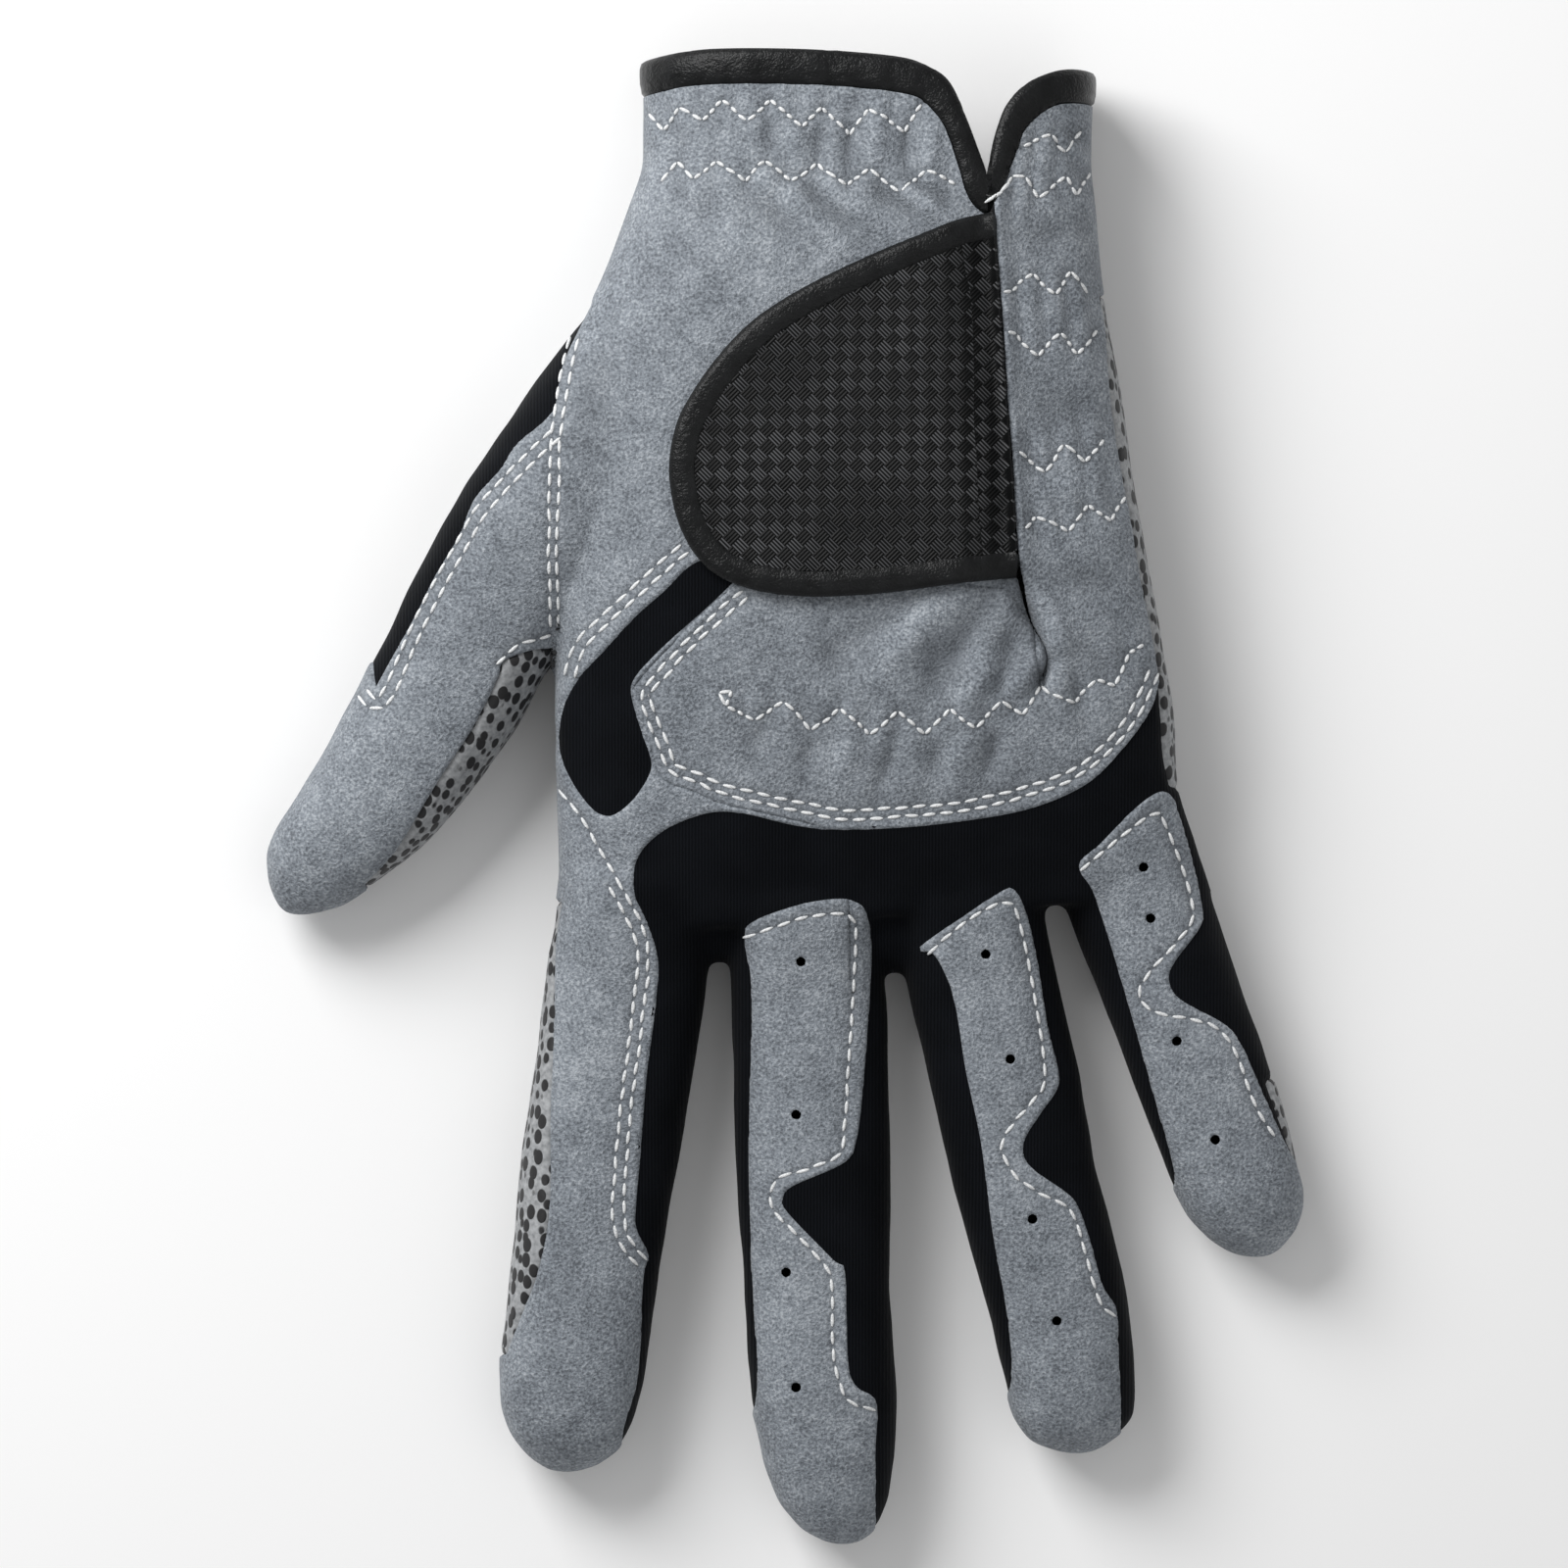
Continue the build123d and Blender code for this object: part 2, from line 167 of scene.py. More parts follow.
def mesh_from(shape, name):
    """Write a bmesh to a new mesh, and free it."""
    mesh = bpy.data.meshes.new(name)
    shape.to_mesh(mesh)
    shape.free()
    return mesh


def object_from(mesh, name):
    """Show a mesh as a piece in the scene."""
    piece = bpy.data.objects.new(name, mesh)
    bpy.context.scene.collection.objects.link(piece)
    return piece


form = object_from(mesh_from(raw, "form"), "form")
union = form.modifiers.new("union", "REMESH")
union.mode = "VOXEL"
union.voxel_size = 0.7 * mm
soften = form.modifiers.new("soften", "SMOOTH")
soften.iterations = 24
bpy.context.view_layer.update()
form_mesh = bpy.data.meshes.new_from_object(form.evaluated_get(bpy.context.evaluated_depsgraph_get()))
bpy.data.objects.remove(form)
skin = bmesh.new()
skin.from_mesh(form_mesh)
bmesh.ops.translate(skin, vec=(0, 0, layer_lift * mm), verts=skin.verts)

# ---- Seams ----
# Off-white thread: double rows along the panels' edges, single rows on the finger overlays, and zigzag
# rows that hold the elastics. Their lines come first, because the layers are pulled in along them.


def curved(points, closed=False, steps=5):
    """Points along the smooth line that runs through the given ones."""
    given = np.array(points, float)
    count = len(given)
    line = []
    for i in range(count if closed else count - 1):
        if closed:
            a, b, c, d = (given[(i + k) % count] for k in (-1, 0, 1, 2))
        else:
            a, b, c, d = (given[min(max(i + k, 0), count - 1)] for k in (-1, 0, 1, 2))
        for t in np.arange(steps) / steps:
            line.append(b + 0.5 * t * (c - a + t * (2 * a - 5 * b + 4 * c - d + t * (3 * (b - c) + d - a))))
    if not closed:
        line.append(given[-1])
    return np.array(line)


def beside(line, gap):
    """The line moved sideways, to its right where gap is positive."""
    run = np.gradient(np.asarray(line, float), axis=0)
    run /= np.linalg.norm(run, axis=1)[:, None] + 1e-9
    return line + gap * np.stack([run[:, 1], -run[:, 0]], axis=1)


knuckle_seam = curved([
    (-6, 29.5), (-9.6, 26.4), (-14.4, 21.9), (-20.1, 15.5), (-20.5, 14.1), (-19.5, 11), (-18, 7.4),
    (-16.3, 3.6), (-12.5, 2.2), (-8.9, 0.6), (-1.1, -1.2), (8.3, -3.0), (16.5, -2.6), (25.8, -1.8),
    (35.2, 0.5), (40.3, 2.3), (45.3, 5.8), (49.1, 10.2), (51.5, 14.5), (52.7, 17.7)])
inset_seam = curved([(-14.6, 35.9), (-20.2, 31), (-25.4, 26.4), (-29.6, 21.9), (-31, 17.3)])
index_seam = curved([
    (-31.8, 1.2), (-28.9, -2.7), (-25.8, -8.3), (-23.2, -12.9), (-20.1, -19), (-19.6, -24), (-20.4, -31.4),
    (-22.1, -45.3), (-22.8, -53.7), (-22.9, -61.6), (-20.1, -65.9)])
middle_seam = curved([
    (-5.7, -20), (-2.2, -18.7), (3.6, -16.9), (9.2, -16.7), (9.8, -19), (9.5, -28.6), (8.9, -38.3),
    (8.2, -48), (7.5, -51), (3, -53), (-0.9, -54.3), (-2, -56.4), (-1.5, -58.9), (4.3, -65.2),
    (6.6, -68.8), (6.8, -78.8), (8.5, -85.5), (12.7, -87.4)])
ring_seam = curved([
    (20.5, -22.3), (25.1, -18.1), (29.1, -15.6), (32.2, -14.7), (33, -17), (34.7, -24.9), (37, -39.6),
    (35.2, -43.1), (31.3, -48.1), (30.9, -50.9), (34.1, -55.2), (40.1, -58.3), (41.8, -62), (44, -70.2),
    (45.2, -73), (46.8, -74.1)])
little_seam = curved([
    (41.9, -10.4), (46.7, -6.4), (52.4, -2.1), (53.7, -3.4), (56.1, -9.3), (57.9, -15.8), (57.4, -18.7),
    (53.1, -23.5), (50.4, -27.8), (52.6, -30.5), (56.6, -31.4), (60.8, -32.6), (63.8, -35.8), (66.7, -43.5),
    (69.6, -48.5)])
thumb_strip_seam = curved([
    (-32.9, 52.2), (-35.6, 49.7), (-39.6, 45.6), (-43.7, 41.0), (-46.2, 36.6), (-49.6, 30.8), (-52.8, 24.6),
    (-55.0, 19.6), (-57.0, 15.0), (-58.2, 13.9), (-59.3, 15.2)])
thumb_seam = curved([
    (-29.0, 65.0), (-30.4, 60.0), (-31.9, 51.5), (-32.3, 42.5), (-32.5, 33.5), (-32.4, 24.5)])
crotch_seam = curved([(-41.2, 18.9), (-38.2, 21.8), (-35.6, 22.6), (-33.6, 23.4)])
seams = [
    knuckle_seam, beside(knuckle_seam, -1.25), inset_seam, beside(inset_seam, -1.4), index_seam,
    beside(index_seam[14:], 1.5), middle_seam, ring_seam, little_seam, thumb_strip_seam,
    beside(thumb_strip_seam, -1.5), thumb_seam, beside(thumb_seam, 1.2), crotch_seam]
zigzags = [
    [(-19, 97.4), (-17, 94.7), (-14.8, 98.2), (-11.7, 96), (-9, 99.2), (-5.3, 96), (-2, 99.2), (2.2, 95),
     (5.1, 98.2), (9.3, 94), (12, 97.8), (16.7, 94.4), (19.4, 98.5)],
    [(-17.4, 87.3), (-15.2, 90.4), (-12.8, 87.7), (-9.7, 90.4), (-5.7, 87.4), (-3, 90.4), (0.8, 87.2),
     (4.4, 90), (8.6, 86.5), (12, 89.3), (16.5, 86), (20.1, 89.1), (24.3, 86.9)],
    [(33.4, 92.3), (37.5, 94.3), (39.6, 91.8), (41.7, 95)],
    [(29.9, 85.5), (32.1, 88.3), (33.8, 88.1), (35.9, 85.1), (39.6, 88.3), (41, 85.5), (42.9, 89)],
    [(30.6, 71.6), (31.6, 71.8), (34.9, 74.4), (38, 71.3), (40.3, 74.8), (42.6, 71.6)],
    [(31.2, 66), (32.3, 65.7), (35.6, 62.5), (38.7, 66), (41.2, 62.8), (44, 66.4)],
    [(32.6, 49.1), (36.8, 46.1), (39.6, 50.2), (42.4, 47.4), (45, 50.9)],
    [(33.6, 38), (35.6, 40), (40.1, 37.7), (42.9, 41.7), (45.9, 39.1), (48, 42.8)],
    [(-8.4, 13.0), (-9.4, 14.9), (-7.6, 15.2), (-8.4, 13.0), (-4.4, 11.1), (-0.1, 13.7), (3.7, 9.6),
    (7.8, 12.7),
     (12.1, 8.9), (15.9, 12.4), (19.7, 8.9), (23.5, 12.7), (26.8, 9.9), (30.6, 13.7), (33.7, 11.7),
     (36.2, 15.5), (41, 13.2), (44, 16.7), (46.8, 15.8), (48.7, 20.5), (50.6, 21.8)],
]
zigzags = [np.array(row, float) for row in zigzags]
slit_line = curved([
    (28.5, 95), (28.9, 86), (29.2, 80), (29.9, 70.2), (30.9, 56.5), (31.7, 46.6), (32.4, 35.2), (33.7, 30.2),
    (35.5, 24.3), (37.2, 20.8), (36.9, 16.5)])
vent_holes = {
    "middle": [
        (2.2, -23.3), (1.6, -45.2), (0.2, -67.7), (1.6, -84.1)],
    "ring": [
        (28.5, -22.3), (32, -37.3), (35.2, -60.1), (38.7, -74.6)],
    "little": [
        (50.9, -9.9), (52, -17.2), (55.8, -34.7), (61.3, -48.8)],
}
vents = [spot for spots in vent_holes.values() for spot in spots]
vent_radius = 0.68


def nearest(places, line):
    """For each plan place: distance to an open line, how far along it, and which side, left being -1."""
    distance = np.full(len(places), 1e6)
    along = np.zeros(len(places))
    side = np.ones(len(places))
    start = 0.0
    for a, b in zip(line[:-1], line[1:]):
        run = b - a
        length = np.hypot(*run)
        offset = places - a
        t = np.clip(offset @ run / max(length ** 2, 1e-12), 0, 1)
        gap = offset - t[:, None] * run
        d = np.hypot(gap[:, 0], gap[:, 1])
        nearer = d < distance
        distance[nearer] = d[nearer]
        along[nearer] = start + t[nearer] * length
        side[nearer] = np.where(offset[:, 0] * run[1] - offset[:, 1] * run[0] > 0, 1, -1)[nearer]
        start += length
    return distance, along, side


def inside_distance(places, outline):
    """Distance in plan to a closed outline, negative inside it."""
    loop = np.vstack([outline, outline[:1]])
    distance = nearest(places, loop)[0]
    inside = np.zeros(len(places), bool)
    x, y = places[:, 0], places[:, 1]
    for (ax, ay), (bx, by) in zip(loop[:-1], loop[1:]):
        if ay != by:
            inside ^= ((ay > y) != (by > y)) & (x < (bx - ax) * (y - ay) / (by - ay) + ax)
    return np.where(inside, -distance, distance)


def plan_places(shape):
    """Plan places of a bmesh's points, in millimetres."""
    return np.array([vert.co.xy for vert in shape.verts]) / mm


facing_up = 0.1  # least upward part of a normal for a point to count as on the back of the hand


def refine(shape, distances, reach):
    """Halve the edges near a line, so that it can be drawn sharply."""
    close = {vert for vert, d in zip(shape.verts, distances) if d < reach and vert.normal.z > facing_up}
    edges = [edge for edge in shape.edges if edge.verts[0] in close and edge.verts[1] in close]
    bmesh.ops.subdivide_edges(shape, edges=edges, cuts=1, use_grid_fill=True)


skin.normal_update()
plan = plan_places(skin)
to_seams = np.min([nearest(plan, line)[0] for line in seams + zigzags + [slit_line]], axis=0)
refine(skin, to_seams, 1.5)
for reach in (2.2, 1.5):
    skin.normal_update()
    plan = plan_places(skin)
    to_vents = np.min([np.hypot(plan[:, 0] - x, plan[:, 1] - y) for x, y in vents], axis=0)
    refine(skin, to_vents, reach)

# ---- Folds and gathers ----
# The soft back pulls in along every stitched row, gathers over the elastics, and wrinkles below the
# cuff and at the slit's lower end. The points of the skin are moved along their own normals.
folds = [  # start, end, half width, rise of the fold or depth of the crease
    ((0.5, 88.5), (12, 79), 1.6, -1.0), ((4.5, 87.5), (15, 79.5), 1.4, 0.7), ((11, 88),
    (20.5, 81), 1.5, -1.0), ((-6, 86.5), (4, 77.5), 1.8, -0.6), ((-2.6, 87.5), (8, 78.5), 1.5, 0.6),
    ((-14, 86), (-8, 80), 1.8, -0.4), ((17.5, 88), (25.5, 83), 1.4, -0.8), ((15, 87.5),
    (23.5, 81.5), 1.2, 0.6), ((-12, 84), (-4, 76), 2.0, 0.4), ((31.5, 31.5), (38, 20), 1.5, -1.3),
    ((33.5, 25.5), (29.5, 16), 1.9, -1.2), ((29.5, 29.5), (19, 12), 2.3, -0.9), ((24, 29.5),
    (13, 17), 2.5, 0.8), ((33, 23), (24, 11.5), 1.7, 0.8), ((38.5, 19.5), (34.5, 15), 1.2, -1.0),
    ((36.8, 27), (40.5, 17), 1.6, 1.0), ((41, 20), (42.5, 10), 1.7, -0.8), ((44, 22),
    (49, 15), 2.0, -0.4), ((17, 27), (6, 20), 2.4, -0.5), ((35.5, 19), (31, 13.5), 1.2, 0.7),
    ((16, 8.5), (12.7, -0.4), 1.6, -0.7), ((30.5, 11), (28, 1.5), 1.7, -0.8), ((4.6, 10.5),
    (2.2, 2.6), 1.6, -0.6), ((22.5, 9.5), (20, 1), 1.6, -0.5), ((10, 9), (7.5, 2), 1.5, 0.5), ((-3, 12),
    (-5, 5), 1.7, -0.5), ((26, 10), (24, 2.5), 1.5, 0.5), ((20, 16), (21, 24), 1.8, -0.5), ((8, 15.5),
    (6, 24), 2.0, -0.5), ((28, 16), (27, 22), 1.5, 0.5), ((-31, 60), (-24, 76), 2.4, 0.5), ((-28, 50),
    (-26, 66), 3.0, -0.45), ((34, 56), (45, 54), 2.6, -0.5), ((33, 79), (42, 80), 2.2, -0.5), ((35, 31),
    (50, 30), 2.4, -0.5), ((34, 43), (46, 44.5), 2.0, 0.4), ((-10, 101), (-9.5, 92), 1.3, -0.4),
    ((9, 97.5), (9, 88), 1.2, -0.8), ((13.2, 98), (13, 89), 1.1, 0.5), ((17.7, 97),
    (16.6, 88), 1.2, -0.8), ((5, 97), (4.6, 88.5), 1.2, -0.6), ((21, 97), (20.4, 88), 1.1, 0.5),
    ((-2, 98), (-2.5, 90), 1.3, -0.5), ((1.4, 97.5), (1.2, 90), 1.2, 0.4), ((-15, 97),
    (-14.4, 90), 1.4, -0.4),
]
skin_mesh = bpy.data.meshes.new("skin")
skin.to_mesh(skin_mesh)
count = len(skin_mesh.vertices)
co, normal = np.zeros(count * 3), np.zeros(count * 3)
skin_mesh.vertices.foreach_get("co", co)
skin_mesh.vertices.foreach_get("normal", normal)
co, normal = co.reshape(-1, 3) / mm, normal.reshape(-1, 3)
plan = co[:, :2]
fold_strength, gather_height = 1.5, 0.24
gather_waves = (4.6, 4.8, 3.5, 3.6, 3.6, 3.6, 3.8, 3.8, 4.4)  # length of one wave along each zigzag row
seam_groove, seam_dip, row_groove = 0.24, 0.12, 0.22  # depths of the pull under the stitches and beside them
hem_rise, slit_dip, slit_end_dip, swell_height = 1.25, 0.5, 0.9, 0.42
push = np.zeros(count)
for start, end, width, rise in folds:
    d, along = nearest(plan, np.array([start, end], float))[:2]
    reach = np.hypot(end[0] - start[0], end[1] - start[1])
    along_fold = np.sin(pi * np.clip(along / reach, 0.12, 0.88))
    push += fold_strength * rise * np.exp(-(d / width) ** 2) * along_fold
row_distance = np.full(count, 1e6)
for row, wave in zip(zigzags, gather_waves):
    d, along = nearest(plan, np.array([row[0], row[len(row) // 2], row[-1]]))[:2]
    push += gather_height * np.exp(-(d / 3.6) ** 2) * np.cos(2 * pi * along / wave)
    row_distance = np.minimum(row_distance, nearest(plan, row)[0])
seam_distance = np.min([nearest(plan, line)[0] for line in seams], axis=0)
to_slit, _, slit_side = nearest(plan, slit_line)
push -= seam_groove * np.exp(-(seam_distance / 0.5) ** 2) + seam_dip * np.exp(-(seam_distance / 1.4) ** 2)
push -= row_groove * np.exp(-(row_distance / 0.6) ** 2)
beside_tab = np.clip((plan[:, 1] - 27) / 8, 0, 1) * np.clip((88 - plan[:, 1]) / 5, 0, 1)
push += hem_rise * beside_tab * np.exp(-(to_slit / 2.0) ** 2) * (slit_side < 0)
push -= slit_dip * beside_tab * np.exp(-(to_slit / 2.5) ** 2) * (slit_side > 0)
push -= slit_end_dip * (1 - beside_tab) * (plan[:, 1] < 50) * np.exp(-(to_slit / 0.9) ** 2)
push *= np.clip(normal[:, 2] * 2.5, 0, 1)
# The folds' relief, kept for the suede's painted shade in the creases of the folds.
relief = push.copy()
swell = [noise.noise(Vector(place) * 0.055) + 0.45 * noise.noise(Vector(place) * 0.16) for place in co]
push += swell_height * np.array(swell)
# Distance to the stitching on the back, kept for the suede's painted shade beside the seams and rows.
stitched_distance = np.where(normal[:, 2] > facing_up, np.minimum(seam_distance, row_distance), 9.0)
co = co + normal * push[:, None]
co[:, 2] = np.maximum(co[:, 2], layer_lift)
skin_mesh.vertices.foreach_set("co", (co * mm).ravel())
plan, height = co[:, :2], co[:, 2]

# ---- Cutting plan ----
# Each outline becomes a field over the skin, a distance that is negative on the side of its own piece,
# and the skin is parted where the field passes through nought, as a cutter follows a pattern's edge.
far = 160.0
cuff_edge = curved([
    (-21, 104.7), (-15, 105.9), (-8.8, 106.4), (4, 106.2), (15.8, 105.2), (20.2, 103.8), (23.3, 101.6),
    (25.7, 96.4), (28.4, 89.2), (28.8, 89.2), (29.9, 94.6), (31.3, 98.3), (33.9, 101.2), (37.5, 103.0),
    (40.8, 103.6), (45, 103.2)])
cuff = np.vstack([[(-far, 104.2)], cuff_edge, [(far, 102.4), (far, -far), (-far, -far)]])
diagonal = curved([
    (-4, 35), (-12.3, 33.5), (-17.2, 29.2), (-21.6, 25.3), (-25.6, 20.9), (-29.2, 17), (-31.4, 12.8),
    (-32.1, 7.9), (-30.9, 3.4), (-27.6, -1.4), (-25, -2.6), (-22.6, -1.2), (-20.5, 1.2), (-19.1, 4),
    (-19.3, 6.1), (-20.5, 9.5), (-21.9, 14.6), (-21.4, 17), (-18.7, 20.1), (-15.1, 23.5), (-11, 27.1),
    (-6, 32)], closed=True)
band_edge = curved([
    (-21.6, -12.6), (-21.3, -9.4), (-19.6, -6.6), (-16, -4.0), (-10.4, -2.1), (-5.4, -2.4), (0.9, -3.9),
    (7.1, -4.6), (16.5, -4.3), (25.8, -3.3), (34, -1.8), (40.3, 0.5), (44.6, 3.3), (49.1, 8.3),
    (52.2, 13.2), (53.4, 18.5)])
index_right_edge = curved([
    (-23.6, -92.5), (-23.2, -89.7), (-21.5, -84.1), (-20.9, -78.5), (-20.3, -68), (-19.6, -65.4),
    (-21.2, -61.8), (-21.4, -59.2), (-20.7, -50.9), (-19.8, -39.8), (-18.7, -31.4), (-18.1, -23.6),
    (-19.6, -18), (-21.3, -14.4)])
stretch_area = np.vstack([
    band_edge, [(56, 19.5), (far, 19.5), (far, -far), (-10, -far), (-16, -98)], index_right_edge])
thumb_strip = np.vstack([
    curved([
        (-27.4, 70.0), (-31.6, 61.3), (-33.1, 54.8), (-38.2, 50.1), (-40.4, 46.6), (-44, 42.5),
        (-46.4, 37.2), (-49.9, 31.3), (-52.3, 26.5), (-55.2, 21.2), (-58.2, 15.7)]),
    [(-58.6, 18), (-58.9, 20.6), (-62, 27), (-80, 50), (-50, 80), (-27, 74)]])
overlays = {
    "middle": curved([
        (-5.7, -20), (-4.7, -17.7), (1.1, -15.5), (6.8, -14.4), (10, -14.8), (11.7, -17), (12.1, -24.7),
        (11, -41.5), (10, -49.2), (8.2, -52.2), (1.1, -55.4), (-0.3, -57.2), (0.4, -59.2), (6.8, -65.9),
        (8.5, -67.8), (8.9, -80), (10, -83.9), (12.9, -86.2), (12.8, -92.9), (12.8, -100), (12.6, -105),
        (11, -111), (4, -111), (-3, -106), (-6.4, -97), (-5.0, -90), (-3.8, -83.2), (-4.7, -67.1),
        (-5.1, -48), (-4.7, -28.6)], closed=True),
    "ring": curved([
        (19.1, -21.5), (25.1, -17), (31.3, -13), (32.7, -13.2), (34.1, -15.9), (35.8, -23.2),
        (37.3, -32.6), (38.9, -39.1), (38.6, -41.9), (36.2, -45.3), (34.0, -49.2), (34.7, -52.4),
        (40.1, -56.4), (41.8, -58.6), (43.5, -63.5), (45.2, -69.7), (47.1, -73), (47.4, -78.5),
        (47.8, -86.0), (47.9, -90.5), (49, -96), (41, -99), (33, -95), (31.4, -89), (32.4, -83),
        (31.9, -74.7), (29.6, -62), (27.9, -49.2), (25.7, -38.7), (24, -28.6),
        (21.4, -22.6)], closed=True),
    "little": curved([
        (41.7, -9.6), (44.9, -6.4), (49.6, -1.6), (53.1, 0.8), (55, 0.1), (56.1, -2.9), (57.9, -8.8),
        (59.4, -15.8), (59, -18.7), (55.4, -23.6), (54.7, -26.2), (56.3, -28.8), (62.5, -32.3),
        (64.9, -35.2), (67.3, -40.5), (69.9, -46.4), (71.8, -50.6), (75, -55), (78, -62), (72, -70),
        (62, -70), (55, -61), (55.8, -54.1), (53.1, -44), (49.6, -31.7), (46.1, -20),
        (43.8, -13.4)], closed=True),
}
leather_peeks = [  # where the palm leather comes round far enough to show from above
    np.vstack([curved([
        (44.4, 71.5), (45.4, 66), (45.9, 58), (47.3, 48), (48.9, 39.7), (50.3, 31.3), (51.8, 24),
        (53.0, 17), (53.5, 12), (53.9, 6), (54.9, 1.5)]), [(60, 1), (66, 40), (60, 72)]]),
    np.vstack([curved([
        (-31.6, -15), (-32.6, -21.5), (-32.8, -31), (-33.4, -44.7), (-33.6, -58.8), (-35.2, -67.6),
        (-37.2, -73), (-39.6, -79.5)]), [(-46, -82), (-48, -50), (-40, -15)]]),
    np.vstack([curved([
        (-33.2, 21.4), (-36.6, 20.9), (-40.1, 19.4), (-40.9, 17.3), (-42.9, 13.1), (-45.4, 8.6),
        (-48.5, 4), (-51.3, -0.5), (-54.5, -5.8), (-56.6, -8.6), (-60.2, -12.2)]),
               [(-57.5, -17), (-46, -7), (-38, 2), (-34.4, 10), (-33.4, 18)]]),
    np.vstack([curved([(68.6, -40.5), (70.4, -45.5), (72.2, -50.5), (74.2, -57)]), [(82, -56), (78, -38)]]),
]
knuckle_area = np.vstack([
    [(28.6, far)], slit_line[::4], [(36.9, 16.0), (36.2, 15.0), (35, 24), (31.5, 29.5)],
    curved([(-2, 34), (-6.6, 30.6), (-10.6, 27.2), (-15.3, 22.6), (-21.0, 16.4), (-21.6, 14.2), (-20.6, 10.6),
            (-19.1, 7), (-17.4, 2.6), (-13, 0.9), (-9.2, -0.8), (-1.2, -2.6), (6, -4.6), (9, -8)]),
    [(9, -far), (far, -far), (far, far)]])
thumb_area = np.vstack([
    curved([
        (-26.6, 74.0), (-30.4, 64), (-32.1, 55), (-32.6, 42.5), (-32.9, 33.5), (-32.7, 24.5),
        (-32.9, 18.4)]),
    [(-34.2, 12), (-far, -60), (-far, 90), (-27, 90)]])
tape_edge = np.vstack([[(-far, 99.2)], curved([
    (-21, 99.5), (-15, 100.8), (-8.8, 101.3), (4, 101.1), (13, 100.4), (17.8, 99.6), (20.2, 98.2),
    (22.6, 94.8), (24.4, 89.8), (25.7, 85.6), (27.3, 83.4), (28.6, 82.8), (29.6, 84.4), (30.9, 87.3),
    (32.4, 90.7), (34.0, 94.9), (37.5, 98.0),
    (40.8, 98.7), (45, 98.4)]), [(far, 97.6), (far, -far), (-far, -far)]])


def smooth_step(value, low, high):
    """0 up to low, 1 from high on, smooth between."""
    t = np.clip((value - low) / (high - low), 0, 1)
    return t * t * (3 - 2 * t)


seam_height = 5.5 + 4.5 * smooth_step(plan[:, 1], -22, 5) - 3.5 * smooth_step(-plan[:, 0], 33, 42)
leather = height - seam_height
for outline in leather_peeks:
    leather = np.minimum(leather, inside_distance(plan, outline))
suede = np.maximum(-inside_distance(plan, diagonal), -inside_distance(plan, stretch_area))
suede = np.maximum(suede, -inside_distance(plan, thumb_strip))
for outline in overlays.values():
    suede = np.minimum(suede, inside_distance(plan, outline))
fields = {
    "cuff": inside_distance(plan, cuff),
    "tape": inside_distance(plan, tape_edge),
    "leather": leather,
    "suede": suede,
    "knuckle": inside_distance(plan, knuckle_area),
    "thumb": inside_distance(plan, thumb_area),
    "slit": to_slit - 0.12 - 0.3 * np.clip((plan[:, 1] - 22) / 12, 0, 1),
    "vents": np.min([np.hypot(plan[:, 0] - x, plan[:, 1] - y) for x, y in vents], axis=0) - vent_radius,
    "stitched": stitched_distance,
    "relief": relief,
}
for name, values in fields.items():
    skin_mesh.attributes.new(name, "FLOAT", "POINT").data.foreach_set("value", values.astype(np.float32))
skin.free()
skin = bmesh.new()
skin.from_mesh(skin_mesh)


near_enough = 0.05  # a point this close to a cut moves onto it, so no slivers are left
on_the_cut = 1e-5


def cut_along(shape, name, level=0.0, above=None):
    """Part the faces where a field passes through a level; above keeps the cut off the palm side."""
    field = shape.verts.layers.float[name]
    bound = shape.verts.layers.float[above] if above else None
    for vert in shape.verts:
        if abs(vert[field] - level) < near_enough:
            vert[field] = level
    crossed = []
    for edge in shape.edges:
        first, last = edge.verts
        if (first[field] - level) * (last[field] - level) < 0:
            if bound is None or max(first[bound], last[bound]) > -1.0:
                crossed.append(edge)
    for edge in crossed:
        first, last = edge.verts
        share = (level - first[field]) / (last[field] - first[field])
        bmesh.utils.edge_split(edge, first, share)[1][field] = level
    on_line = [vert for vert in shape.verts if abs(vert[field] - level) < on_the_cut]
    if bound is not None:
        on_line = [vert for vert in on_line if vert[bound] > -1.5]
    bmesh.ops.connect_verts(shape, verts=on_line)


turned_edge = 0.5  # width of the rounding along a panel's cut edge
cut_along(skin, "cuff")
cut_along(skin, "tape")
cut_along(skin, "leather")
for level in (0.0, -turned_edge):
    cut_along(skin, "suede", level, above="leather")
cut_along(skin, "leather", turned_edge)
for level in (0.0, turned_edge, -turned_edge):
    cut_along(skin, "knuckle", level, above="leather")
cut_along(skin, "thumb", 0.0, above="leather")
cut_along(skin, "slit", 0.0, above="leather")
cut_along(skin, "vents", 0.0, above="leather")


def face_value(face, field):
    """Mean of a field over a face."""
    return sum(vert[field] for vert in face.verts) / len(face.verts)


layer = {name: skin.verts.layers.float[name] for name in fields}
skin.normal_update()
skin_tree = BVHTree.FromBMesh(skin)
waste = [face for face in skin.faces if face_value(face, layer["cuff"]) > 0 or (
    face_value(face, layer["leather"]) > 0 and face.normal.z > 0.2 and (
        face_value(face, layer["slit"]) < 0 or face_value(face, layer["vents"]) < 0))]
bmesh.ops.delete(skin, geom=waste, context="FACES")

